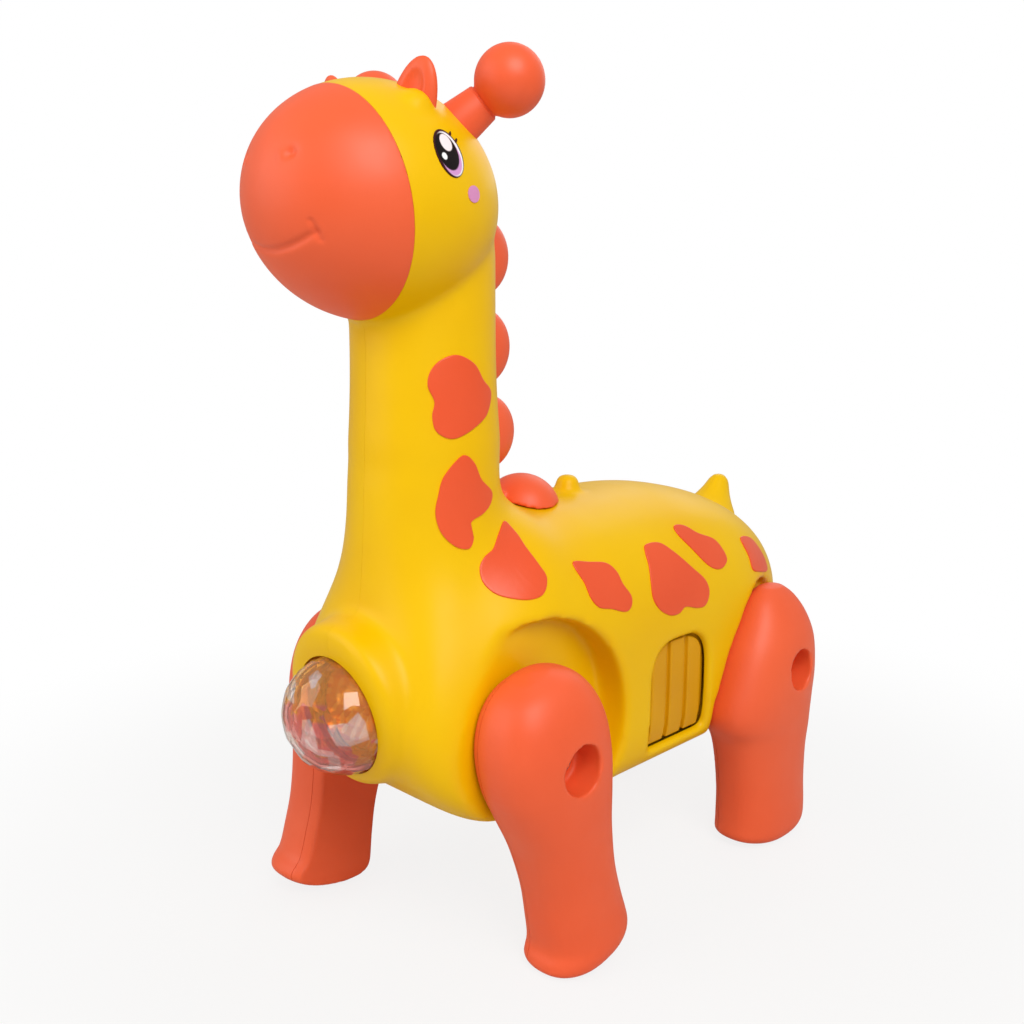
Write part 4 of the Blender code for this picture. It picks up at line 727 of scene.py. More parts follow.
@dataclass(frozen=True)
class PrintedEye:
    """A satin printed film: flat fields of ink with crisp edges.

    Each field is an ellipse on the side of the head: middle (Y, Z) and half sizes in mm from the middle of the eye,
    turn in degrees, and colour. Later fields lie on earlier ones.
    """

    name: str
    y: float
    z: float
    rim: str
    fields: Tuple[Tuple[float, float, float, float, float, str], ...]
    blur: float = 0.12

    def material(self) -> Finish:
        """Builds the print."""
        nodes, colour = Nodes(self.name), self.rim
        parts = nodes.add("SeparateXYZ", None, {0: nodes.where}).outputs
        flat = nodes.add("CombineXYZ", None, {0: parts["Y"], 1: parts["Z"]}).outputs[0]
        for y, z, half_y, half_z, turn, ink in self.fields:
            place = nodes.add("Mapping", {
                "vector_type": "TEXTURE", "Location": (self.y + y * MM, self.z + z * MM, 0.0),
                "Rotation": (0.0, 0.0, math.radians(turn)), "Scale": (half_y * MM, half_z * MM, 1.0),
            }, {"Vector": flat}).outputs["Vector"]
            reach = nodes.add("VectorMath", {"operation": "LENGTH"}, {0: place}).outputs["Value"]
            edge = self.blur / min(half_y, half_z)
            colour = nodes.mix(nodes.ramp(reach, 1.0 - edge, 1.0 + edge, 1.0, 0.0), colour, ink)
        return nodes.finish({"Base Color": colour, "Roughness": 0.26, "Specular IOR Level": 0.2})


# Shells, and the grille behind them in the same yellow, darkened as painted shade of its recess
YELLOW_ABS = Moulding("yellow_abs_moulded", "F1C100", "EEBA00", 0.36, gloss=0.16)
GRILLE_PAINTED_SHADE_ABS = Moulding("amber_abs_moulded", "DDA000", "D39300", 0.4, gloss=0.22)
# Legs, muzzle, mane, ears and horns, and the lacquer of the spots
ORANGE_ABS = Moulding("orange_abs_moulded", "F36234", "EF5B2D", 0.46, gloss=0.42)
ORANGE_PAINT = Moulding("orange_spot_lacquer", "EE5626", "EA5122", 0.33, gloss=0.5, grain=0.5 * MM)
# Gears, cranks and rockers
WHITE_ACETAL = Moulding("white_acetal_gear", "E9E8E2", "E2E0D8", 0.42)
# Battery box, plates, speaker and switch
GREY_ABS = Moulding("grey_abs_moulded", "4B4C4F", "444548", 0.5)
# Prints of the face
CHEEK_INK = Moulding("pink_pad_print", "DE93C4", "DA8CBF", 0.35, grain=0.4 * MM)
LASH_INK = Moulding("maroon_pad_print", "3A1216", "331014", 0.35, grain=0.4 * MM)
EYE_Y, EYE_Z = mm(-65.7, 211.8)
EYE_PRINT = PrintedEye("printed_eye_film", EYE_Y, EYE_Z, "3A1216", (
    (0.3, -0.05, 3.55, 5.1, 14.0, "FBF6FA"), (0.15, -0.7, 3.25, 4.3, 14.0, "D79AD2"),
    (-0.5, 0.4, 3.3, 4.3, 13.0, "120A0B"), (-0.3, 2.45, 1.75, 1.95, 16.0, "F8EAEC"),
    (-1.85, -0.75, 0.75, 0.8, 30.0, "FFFFFF")))
# Dome and bowl of the lamp, and its LED; the dome's pink, orange and near-white and the bowl's patches are painted
# reflection of the parts round the lamp
LENS_PAINTED_REFLECTIONS = ClearStyrene("clear_styrene_lens", "F0948A", haze=0.2, tints=("F6B04A", "FFF4F0"))
BOWL_PAINTED_REFLECTIONS = TintedFilm("tinted_reflector_film", ("E0604C", "F0A028", "F6DCCB"), 5.0 * MM, 0.2)
CLEAR_LED = ClearStyrene("clear_epoxy_led", "FFF3E8", 1.5)
# Screws, shafts, pins and contacts, and the motor's can
ZINC_STEEL = PlatedMetal("zinc_plated_steel", "B9BABD", 0.34)
MOTOR_CAN = PlatedMetal("nickel_plated_can", "A8A9AC", 0.3)
# Circuit boards and cells
GREEN_BOARD = BandedSleeve("green_lacquered_board", "1E6B3C", "2C8350", 1.3 * MM, 0.45)
CELL_FILM = BandedSleeve("printed_cell_film", "1F5E36", "B98A3C", 24.0 * MM, 0.3, 0.4)


@dataclass
class Skin:
    """The casing's outer form: rump, barrel, chest and neck as one sweep."""

    back_z: float = 120.0 * MM
    belly_z: float = 39.2 * MM
    half_width: float = 37.5 * MM
    rump_y: float = 100.4 * MM
    rump_z: float = 72.0 * MM
    rump_turn: float = math.radians(87.0)
    back_fall_y: float = 22.0 * MM
    flank_turn_y: float = 46.0 * MM
    belly_rise_y: float = 48.0 * MM
    neck_y: float = -51.5 * MM
    neck_low_radius: float = 20.3 * MM
    neck_top_radius: float = 19.2 * MM
    neck_top_z: float = 190.0 * MM
    neck_taper: float = 28.0 * MM
    nape_radius: float = 22.0 * MM
    nape_dip: float = 4.0 * MM
    chest_angle: float = math.radians(47.0)
    chest_spread: float = math.radians(10.3)
    back_roundness: float = 2.4
    belly_roundness: float = 8.0
    wall: float = 2.0 * MM
    # Reach of the chest from the middle of the nape's curve: turn from the belly in degrees, reach in mm
    chest_reach: Tuple[Values, ...] = (
        (0.0, 102.8), (14.7, 105.7), (25.5, 110.6), (32.4, 110.6), (38.9, 107.6), (44.9, 100.4),
        (50.7, 88.8), (58.0, 77.2), (69.5, 68.2), (83.6, 63.2), (90.0, 62.6))

    @property
    def nape(self) -> Vector:
        """Middle of the curve between back and neck."""
        return mid(self.neck_y + self.neck_low_radius + self.nape_radius, self.back_z + self.nape_radius)

    def share_at(self, angle: float) -> float:
        """Share of the barrel's size that is left at an angle of the turn from barrel to neck."""
        first, last, here = (
            0.5 - 0.5 * math.tanh((at - self.chest_angle) / self.chest_spread) for at in (0.0, math.pi / 2.0, angle))
        return (here - last) / (first - last)

    def reach_at(self, angle: float) -> float:
        """Reach of the chest at an angle, smooth through the set points."""
        rows, turn = self.chest_reach, math.degrees(angle)
        last = len(rows) - 2
        index = next((i for i in range(last) if turn < rows[i + 1][0]), last)
        slopes = []
        for place in (index, index + 1):
            low, high = rows[max(place - 1, 0)], rows[min(place + 1, last + 1)]
            slopes.append((high[1] - low[1]) / (high[0] - low[0]))
        (start, near), (stop, far) = rows[index], rows[index + 1]
        span = stop - start
        t = (turn - start) / span
        return MM * (
            (2.0 * t ** 3 - 3.0 * t * t + 1.0) * near + (t ** 3 - 2.0 * t * t + t) * span * slopes[0]
            + (3.0 * t * t - 2.0 * t ** 3) * far + (t ** 3 - t * t) * span * slopes[1])

    def section(self, top: Vector, bottom: Vector, half: float, upper: float, lower: float, count: int) -> Ring:
        """A closed ring through a top and a bottom point of the middle plane.

        Args:
            top: Highest point.
            bottom: Lowest point.
            half: Half width.
            upper: Roundness of the upper half.
            lower: Roundness of the lower half.
            count: Count of points.

        Returns:
            The ring.
        """
        middle, reach = (top + bottom) / 2.0, (top - bottom) / 2.0
        ring = []
        for index in range(count):
            angle = 2.0 * math.pi * (index + 0.5) / count
            power = 2.0 / (upper if math.cos(angle) > 0.0 else lower)
            across = Vector((half * signed_power(math.sin(angle), power), 0.0, 0.0))
            ring.append(middle + reach * signed_power(math.cos(angle), power) + across)
        return ring

    def solid(self, name: str, grow: float = 0.0, count: int = 96, detail: float = 4.0) -> Obj:
        """The form as a closed body.

        Args:
            name: Name of the object.
            grow: Distance to grow by.
            count: Count of points round a ring.
            detail: Density of the rings.

        Returns:
            The body.
        """
        def quarter(y: float, start: float, rise: float) -> float:
            """Height of a quarter ellipse that falls towards the rump."""
            share = max(0.0, y - start) / (self.rump_y + grow - start)
            return (rise + grow) * math.sqrt(max(0.0, 1.0 - share * share))

        def steps(first: int, last: int, density: int) -> List[float]:
            """Shares of a stretch, with a density of rings."""
            total = round(density * detail)
            return [index / total for index in range(first, total + last)]

        back, belly, nape = self.back_roundness, self.belly_roundness, self.nape
        rows = []
        for share in steps(0, 0, 7):
            y = self.back_fall_y
            y += (self.rump_y + grow - y) * math.sin(self.rump_turn * (1.0 - share))
            high = self.rump_z + quarter(y, self.back_fall_y, self.back_z - self.rump_z)
            low = self.rump_z - quarter(y, self.belly_rise_y, self.rump_z - self.belly_z)
            rows.append((mid(y, high), mid(y, low), quarter(y, self.flank_turn_y, self.half_width), back, belly))
        for share in steps(0, 0, 2):
            y = self.back_fall_y + (nape.y - self.back_fall_y) * share
            rows.append((
                mid(y, self.back_z + grow), mid(y, self.belly_z - grow), self.half_width + grow, back, belly))
        for part in steps(0, 1, 11):
            angle = math.pi / 2.0 * part
            share, way = self.share_at(angle), mid(-math.sin(angle), -math.cos(angle))
            inner = self.nape_radius + self.nape_dip * math.sin(2.0 * angle) ** 2 - grow
            half = self.neck_low_radius + (self.half_width - self.neck_low_radius) * share
            rows.append((
                nape + way * inner, nape + way * (self.reach_at(angle) + grow), half + grow,
                2.0 + (back - 2.0) * share, 2.0 + (belly - 2.0) * share))
        heights = []
        for part in steps(1, 1, 4):
            z = nape.z + (self.neck_top_z - nape.z) * part
            share = min(1.0, (z - nape.z) / self.neck_taper)
            fall = (self.neck_top_radius - self.neck_low_radius) * share * (2.0 - share)
            heights.append((z, self.neck_low_radius + fall + grow))
        dome = self.neck_top_radius + grow
        for index in range(1, 8):
            angle = math.pi / 16.0 * index
            heights.append((self.neck_top_z + dome * math.sin(angle), dome * math.cos(angle)))
        rows += [(mid(self.neck_y + size, z), mid(self.neck_y - size, z), size, 2.0, 2.0) for z, size in heights]
        return loft(
            name, [self.section(*row, count) for row in rows], mid(self.rump_y + grow, self.rump_z),
            mid(self.neck_y, self.neck_top_z + dome))


@dataclass
class Head:
    """The head: a tilted ellipsoid, split by a leaning seam into the yellow cup and the orange muzzle."""

    y: float = -67.0 * MM
    z: float = 202.0 * MM
    half_width: float = 28.6 * MM
    half_length: float = 33.4 * MM
    half_height: float = 29.0 * MM
    tilt: float = math.radians(6.0)
    seam_y: float = -77.4 * MM
    seam_lean: float = math.radians(10.0)
    seam_gap: float = 0.08 * MM
    seam_edge: float = 0.2 * MM
    nostril: Values = mm(9.1, 211.0)
    # A wing beside each nostril: how far inward and down from it
    wing: Values = mm(2.2, 0.5)
    mouth_half: float = 13.6 * MM
    mouth_low_z: float = 190.0 * MM
    mouth_rise: float = 3.7 * MM
    # Depth and width of the marks on the muzzle
    nostril_cut: Values = mm(0.9, 1.35)
    wing_cut: Values = mm(-0.3, 1.3)
    mouth_cut: Values = mm(0.75, 0.85)
    crease_cut: Values = mm(0.4, 0.75)
    mouth_fade: float = 0.35
    # The crease at each corner of the mouth: both ends above the mouth; half height, shift and bow
    crease_span: Values = mm(2.2, 6.0)
    crease_bow: Values = mm(3.0, 0.2, 0.6)
    # Marks lie this far ahead of the middle, and finer facets where they are deep enough
    marks_from: float = 8.0 * MM
    fine_from: float = 12.0 * MM
    fine_depth: float = 0.004 * MM
    ear_root_place: Values = mm(16.7, -67.8, 222.0)
    ear_root_halves: Values = mm(5.2, 5.0, 5.2)

    @property
    def seam(self) -> Matrix:
        """Placing matrix of the seam, whose Y runs to the rear."""
        return Matrix.Translation((0.0, self.seam_y, self.z)) @ Matrix.Rotation(self.seam_lean, 4, "X")

    def form(self, name: str, grow: float = 0.0, segments: int = 96) -> Obj:
        """The ellipsoid with its poles on Y, grown by a distance."""
        tilted = Matrix.Translation((0.0, self.y, self.z)) @ Matrix.Rotation(-self.tilt, 4, "X")
        place = sized(tilted, self.half_width + grow, self.half_length + grow, self.half_height + grow)
        return ellipsoid(name, place @ Matrix.Rotation(math.pi / 2.0, 4, "X"), segments, segments // 2)

    def ear_root(self, side: Side) -> Obj:
        """The low swelling of the cup in front of an ear."""
        x, y, z = self.ear_root_place
        place = Matrix.Translation((side.value * x, y, z))
        return ellipsoid(f"ear_root_{side.word}", sized(place, *self.ear_root_halves), 32, 16)

    def muzzle_space(self, name: str) -> Obj:
        """The space in front of the seam, which the cup leaves to the muzzle."""
        space = block(name, (-0.06, -0.12, -0.036), (0.06, self.seam_gap / 2.0, 0.06))
        space.data.transform(self.seam)
        return space

    def dent(self, x: float, z: float) -> float:
        """Depth of the nostrils, the mouth's line and its corners at a place of the muzzle's front."""
        side, low = abs(x), self.mouth_low_z
        across, above = side - self.nostril[0], z - self.nostril[1]
        share = min(side / self.mouth_half, 1.0)
        away = math.hypot(z - low - self.mouth_rise * share * share, max(side - self.mouth_half, 0.0))
        crease_z = min(max(z, low + self.crease_span[0]), low + self.crease_span[1])
        half, shift, bow = self.crease_bow
        lift = (crease_z - low - self.mouth_rise) / half
        crease_x = self.mouth_half + shift - bow * lift * abs(lift)
        return sum(cut[0] * fade * bell(distance, cut[1]) for cut, fade, distance in (
            (self.nostril_cut, 1.0, math.hypot(across, above)),
            (self.wing_cut, 1.0, math.hypot(across + self.wing[0], above + self.wing[1])),
            (self.mouth_cut, 1.0 - self.mouth_fade * share, away),
            (self.crease_cut, 1.0, math.hypot(side - crease_x, z - crease_z))))

    def build_muzzle(self, finish: Finish) -> None:
        """Models the muzzle with its nostrils and mouth, on finer facets there."""
        muzzle = self.form("muzzle_moulding", 0.0, 192)
        rear = self.seam.to_3x3() @ -FRONT
        with editing(muzzle) as bm:
            for face in bm.faces:
                face.select = False
            for face in bm.faces:
                place = face.calc_center_median()
                face.select = (
                    place.y < self.y - self.fine_from and abs(self.dent(place.x, place.z)) > self.fine_depth)
            bm.select_flush(True)
            bpy.ops.mesh.subdivide(number_cuts=3)
            middle = mid(self.y, self.z)
            for vert in bmesh.from_edit_mesh(muzzle.data).verts:
                if vert.co.y < self.y - self.marks_from:
                    vert.co += (middle - vert.co).normalized() * self.dent(vert.co.x, vert.co.z)
            slice_off(self.seam.translation - rear * self.seam_gap / 2.0, rear)
        bevel(muzzle, self.seam_edge)
        dress(smooth_faces(muzzle), finish, Body.CASING, Slot.ORANGE, "muzzle")


@dataclass
class Crown:
    """Ears and horns on top of the head."""

    ear: Values = mm(13.3, -65.8, 221.3)
    ear_halves: Values = mm(6.6, 2.8, 14.0)
    ear_way: Values = (0.45, 0.02, 1.0)
    ear_turn: float = math.radians(-80.0)
    scoop: Values = mm(0.0, -4.6, 7.0)
    scoop_halves: Values = mm(4.4, 3.6, 7.5)
    ear_voxel: float = 0.4 * MM
    horn_base: Values = mm(10.2, -54.9, 216.6)
    horn_ball: Values = mm(25.8, -45.0, 230.3)
    ball_radius: float = 8.6 * MM
    horn_radius: float = 6.6 * MM
    # Share of the length at the step, shares of the radius past it and before it
    horn_step: Values = (0.65, 0.64, 0.72)
    ball_fillet: float = math.radians(6.0)

    def build_ears(self, finish: Finish) -> None:
        """Models a leaf-shaped ear with a hollow front, and its twin."""
        way = Vector(self.ear_way).normalized()
        place = along(Vector(self.ear), way) @ Matrix.Rotation(self.ear_turn, 4, "Z")
        leaf = ellipsoid("ear_leaf_left", sized(place, *self.ear_halves), 48, 40)
        scoop = sized(place @ Matrix.Translation(self.scoop), *self.scoop_halves)
        combine(leaf, Way.CUT, ellipsoid("ear_scoop", scoop, 40, 32))
        soft_cast(leaf, self.ear_voxel, 5)
        dress_pair(smooth_faces(leaf, 60.0), finish, Slot.ORANGE, "ear")

    def build_horns(self, finish: Finish) -> None:
        """Models a horn: a sleeve with a step, a flare and a ball, and its twin."""
        base, ball = Vector(self.horn_base), Vector(self.horn_ball)
        length = (ball - base).length
        sizes = (length, self.horn_radius, self.horn_radius)
        step, neck, end = (share * size for share, size in zip(self.horn_step, sizes))
        profile = [
            (0.0, 0.0), (self.horn_radius, 0.0), (end + 0.05 * MM, step - 0.3 * MM),
            (end - 0.12 * MM, step - 0.05 * MM), (neck + 0.15 * MM, step + 0.1 * MM), (neck, step + 0.4 * MM)]
        start = math.asin(neck / self.ball_radius) + self.ball_fillet
        for index in range(32):
            angle = start + (math.pi - start) * index / 32
            profile.append((self.ball_radius * math.sin(angle), length - self.ball_radius * math.cos(angle)))
        profile.append((0.0, length + self.ball_radius))
        horn = turned("horn_sleeve_left", profile, base, (ball - base).normalized())
        dress_pair(smooth_faces(horn, 50.0), finish, Slot.ORANGE, "horn")


# Sections of the legs from the hip down in mm: height from the hip, reach forward, reach back, half thickness
FRONT_SECTIONS = (
    (23.6, 5.5, 5.5, 4.2), (20.6, 11.6, 11.6, 8.8), (15.0, 16.0, 16.0, 12.2), (7.0, 18.6, 18.6, 14.0),
    (-3.0, 18.6, 18.8, 14.3), (-13.0, 16.2, 17.0, 13.8), (-24.0, 13.4, 14.8, 12.8), (-37.0, 12.0, 13.8, 12.0),
    (-47.0, 12.4, 14.4, 12.0), (-54.0, 13.0, 15.2, 12.3), (-57.2, 14.8, 15.5, 12.5), (-59.5, 15.3, 14.9, 12.2),
    (-61.2, 13.4, 12.7, 11.2), (-62.4, 9.2, 9.0, 8.8), (-62.95, 6.0, 6.0, 6.4))
REAR_SECTIONS = (
    (27.0, 5.0, 4.6, 3.4), (23.6, 10.2, 9.6, 6.6), (17.5, 15.2, 14.4, 10.4), (9.0, 21.0, 18.2, 13.3),
    (-2.0, 26.0, 19.5, 14.4), (-11.0, 29.0, 19.2, 14.2), (-17.0, 28.0, 18.8, 13.8), (-23.0, 24.0, 18.4, 13.2),
    (-32.0, 21.5, 17.6, 12.4), (-44.0, 19.8, 18.0, 12.0), (-54.0, 19.6, 18.8, 12.2), (-59.3, 19.4, 18.2, 12.0),
    (-62.0, 14.0, 13.5, 10.4), (-63.0, 9.0, 9.0, 7.6))


@dataclass
class Hip:
    """A leg's axis on the left side, the leg's sections, and the recess that its top sits in."""

    y: float
    z: float
    x: float
    scale: float
    floor_gap: float
    sections: Tuple[Values, ...]
    top: float

    @property
    def inner_x(self) -> float:
        """X of the leg's flat inner side."""
        return self.x - 8.0 * MM * self.scale

    @property
    def recess_x(self) -> float:
        """X of the floor of the screw's recess."""
        return self.x + 14.0 * MM * self.scale - 9.0 * MM

    def recess(self, name: str, grow: float) -> Obj:
        """The recess in the outline of the leg's top on the left side, grown by a distance, as a tool body."""
        size, room = MM * self.scale, 0.3 * MM + grow
        rows = [row for row in curve_through(self.sections, 4) if row[0] > -40.0]
        front = [(self.y - row[1] * size - room, self.z + row[0] * size) for row in rows]
        back = [(self.y + row[2] * size + room, self.z + row[0] * size) for row in rows]
        top = self.z + self.top * size + room
        outline = front[::-1] + [(self.y - 3.0 * MM, top), (self.y + 3.0 * MM, top)] + back
        return prism(name, outline, self.inner_x - self.floor_gap - grow, PAST_FLANK)


@dataclass
class Dish(Hip):
    """A hip whose leg swings in a round dish, with a floor that rises toward the chest."""

    radius: float = 33.0 * MM
    shift: float = 5.5 * MM
    slope: float = math.radians(6.5)

    def recess(self, name: str, grow: float) -> Obj:
        """The round dish that the leg's top swings in, on the left side."""
        y, floor = self.y + self.shift, self.inner_x - self.floor_gap - grow
        tool = rod(name, self.radius + grow, Vector((floor, y, self.z)), Vector((PAST_FLANK, y, self.z)), 96)
        for vert in tool.data.vertices:
            if vert.co.x < PAST_FLANK - 10.0 * MM:
                vert.co.x -= (vert.co.y - self.y) * math.tan(self.slope)
        return tool


FRONT_HIP = Dish(*mm(-48.0, 63.0, 41.3), 1.0, 2.3 * MM, FRONT_SECTIONS, 24.4)
REAR_HIP = Hip(*mm(64.0, 60.165, 37.6), 0.955, 0.5 * MM, REAR_SECTIONS, 28.0)


@dataclass
class Lamp:
    """The lamp on the chest: a clear cut dome over a bright bowl."""

    y: float = -80.3 * MM
    z: float = 72.5 * MM
    radius: float = 16.5 * MM
    wall: float = 1.6 * MM
    flange_radius: float = 18.2 * MM
    collar_radius: float = 22.6 * MM
    collar_rise: float = 1.9 * MM
    collar_lean: float = 0.13
    rim: float = 2.7 * MM
    bore_gap: float = 0.12 * MM
    facets: int = 52
    facet_depth: float = 0.978
    facet_span: float = 0.98
    # Scatter of the facets in height, turn and depth
    height_scatter: float = 0.02
    turn_scatter: float = 0.22
    depth_scatter: Values = (-0.008, 0.004)
    seed: int = 11
    # Parts behind the dome: both ends on the axis, and shares of the radius
    skirt_ends: Values = mm(0.2, -2.4)
    skirt_share: float = 0.955
    flange_ends: Values = mm(-1.9, -3.9)
    throat_ends: Values = mm(0.0, -9.0)
    throat_share: float = 0.995

    def at(self, ahead: float) -> Vector:
        """A point of the lamp's axis, ahead of the dome's rim."""
        return mid(self.y, self.z) + FRONT * ahead

    def collar(self, name: str) -> Obj:
        """The thick collar on the chest that holds the dome, leaning forward at its top."""
        radius, rim = self.collar_radius, self.rim
        line = curve_through((
            (radius - 5.4 * MM, rim), (radius - 2.0 * MM, rim - 0.8 * MM), (radius - 0.6 * MM, rim - 2.2 * MM),
            (radius, rim - 4.6 * MM), (radius + 1.5 * MM, rim - 14.0 * MM)), 5)
        profile = [(0.0, rim), *line, (0.0, rim - 22.0 * MM)]
        collar = turned(name, profile, self.at(0.0) + UP * self.collar_rise, FRONT, 96)
        for vert in collar.data.vertices:
            vert.co.y -= (vert.co.z - self.z) * self.collar_lean
        return collar

    def bore(self, name: str) -> Obj:
        """The way through the collar for the dome, with a mouth that follows it."""
        reach, radius = 30.0 * MM, self.radius + self.bore_gap
        mouth = [(math.sqrt(radius ** 2 - (step * MM) ** 2), step * MM) for step in range(7)]
        profile = [(0.0, -reach), (radius, -reach), *mouth, (mouth[-1][0], reach), (0.0, reach)]
        return turned(name, profile, self.at(0.0), FRONT, 96)

    def ball(self, name: str, radius: float, segments: int) -> Obj:
        """A ball round the middle of the dome."""
        return ellipsoid(name, sized(Matrix.Translation(self.at(0.0)), *[radius] * 3), segments, segments // 2)

    def build_dome(self, finish: Finish) -> None:
        """Models the dome with its flat facets, skirt, flange and hollow."""
        dome = self.ball("lamp_dome", self.radius, 48)
        draw = random.Random(self.seed)
        golden = math.pi * (3.0 - math.sqrt(5.0))
        with editing(dome):
            for index in range(self.facets):
                height = 1.0 - (index + 0.5) / self.facets * self.facet_span
                height += draw.uniform(-self.height_scatter, self.height_scatter)
                turn = golden * index + draw.uniform(-self.turn_scatter, self.turn_scatter)
                side = math.sqrt(max(0.0, 1.0 - min(height, 1.0) ** 2))
                way = Vector((side * math.cos(turn), -height, side * math.sin(turn))).normalized()
                depth = self.radius * (self.facet_depth + draw.uniform(*self.depth_scatter))
                slice_off(self.at(0.0) + way * depth, way)
        inside = self.radius - self.wall
        for way, *tools in (
            (Way.CUT, block("dome_back", (-0.05, self.y, 0.0), (0.05, self.y + 0.05, 0.2))),
            (Way.JOIN, rod("dome_skirt", self.radius * self.skirt_share, *map(self.at, self.skirt_ends)),
             rod("dome_flange", self.flange_radius, *map(self.at, self.flange_ends))),
            (Way.CUT, self.ball("dome_hollow", inside, 64),
             rod("dome_throat", inside * self.throat_share, *map(self.at, self.throat_ends))),
        ):
            combine(dome, way, *tools, solver=Solver.FAST)
        dress(smooth_faces(dome, 6.0), finish, Body.CASING, Slot.CLEAR, "lamp_lens")

    def build_bowl(self, finish: Finish) -> None:
        """Models the bowl behind the dome."""
        rim, lip, back, hole = self.radius - 0.6 * MM, *mm(1.4, -13.5, 3.2)
        bowl = turned(
            "lamp_bowl", ((0.0, -4.3 * MM), (rim, -4.3 * MM), (rim, -6.0 * MM), (8.0 * MM, back), (0.0, back)),
            self.at(0.0), FRONT)
        line = curve_through((
            (rim - lip, -4.2 * MM), mm(12.6, -7.2), mm(10.0, -10.0), (7.0 * MM, back + 1.2 * MM),
            (hole, back + 1.2 * MM)), 5)
        room = [(0.0, -3.0 * MM), (rim - lip, -3.0 * MM), *line, (hole, back - MM), (0.0, back - MM)]
        combine(bowl, Way.CUT, turned("lamp_bowl_room", room, self.at(0.0), FRONT))
        dress(smooth_faces(bowl, 30.0), finish, Body.CASING, Slot.WHITE, "lamp_reflector")


@dataclass
class Grille:
    """The arch-topped sound opening of a flank, with upright bars."""

    y: float = 17.0 * MM
    width: float = 28.0 * MM
    low_z: float = 46.5 * MM
    top_z: float = 79.0 * MM
    arch_roundness: float = 2.9
    inset: float = 3.5 * MM
    bar_inset: float = 1.9 * MM
    thickness: float = 1.4 * MM
    bar: float = 6.9 * MM
    pitch: float = 8.75 * MM
    inner_x: float = 25.0 * MM
    outer_x: float = 60.0 * MM
    pocket_x: float = 26.0 * MM
    gap: float = 0.9 * MM
    lap: float = 1.6 * MM
    voxel: float = 0.4 * MM

    def arch(self, grow: float) -> Outline:
        """Outline of the arch, grown by a distance."""
        half, power = self.width / 2.0 + grow, 2.0 / self.arch_roundness
        spring = self.top_z - self.width / 2.0
        outline = [(self.y - half, self.low_z - grow), (self.y + half, self.low_z - grow)]
        for index in range(33):
            angle = math.pi * index / 32
            outline.append((
                self.y + half * signed_power(math.cos(angle), power),
                spring + half * signed_power(math.sin(angle), power)))
        return outline

    def build(self, skin: Skin, finish: Finish) -> None:
        """Models the grille of each flank: a plate behind the opening, with three soft bars that fill it."""
        def layer(name: str, inset: float) -> Obj:
            """The skin, set inward by a distance."""
            return skin.solid(name, -inset, 64, 2.0)

        plate = prism("grille_left", self.arch(self.lap), self.inner_x, self.outer_x)
        combine(plate, Way.COMMON, layer("grille_face", self.inset))
        combine(plate, Way.CUT, layer("grille_back", self.inset + self.thickness))
        bars = []
        for index in range(3):
            y = self.y + (index - 1) * self.pitch
            bars.append(block(
                f"grille_bar_{index + 1}", (self.inner_x, y - self.bar / 2.0, 0.0),
                (self.outer_x, y + self.bar / 2.0, 0.1)))
        ends = prism("bar_ends", self.arch(-self.gap), 0.0, self.outer_x)
        combine(bars[0], Way.JOIN, *bars[1:])
        combine(bars[0], Way.COMMON, layer("bar_face", self.bar_inset), ends)
        combine(bars[0], Way.CUT, layer("bar_back", self.inset + self.thickness / 2.0))
        combine(plate, Way.JOIN, bars[0])
        soft_cast(plate, self.voxel, 4)
        dress_pair(smooth_faces(plate, 60.0), finish, Slot.YELLOW, "side_grille")


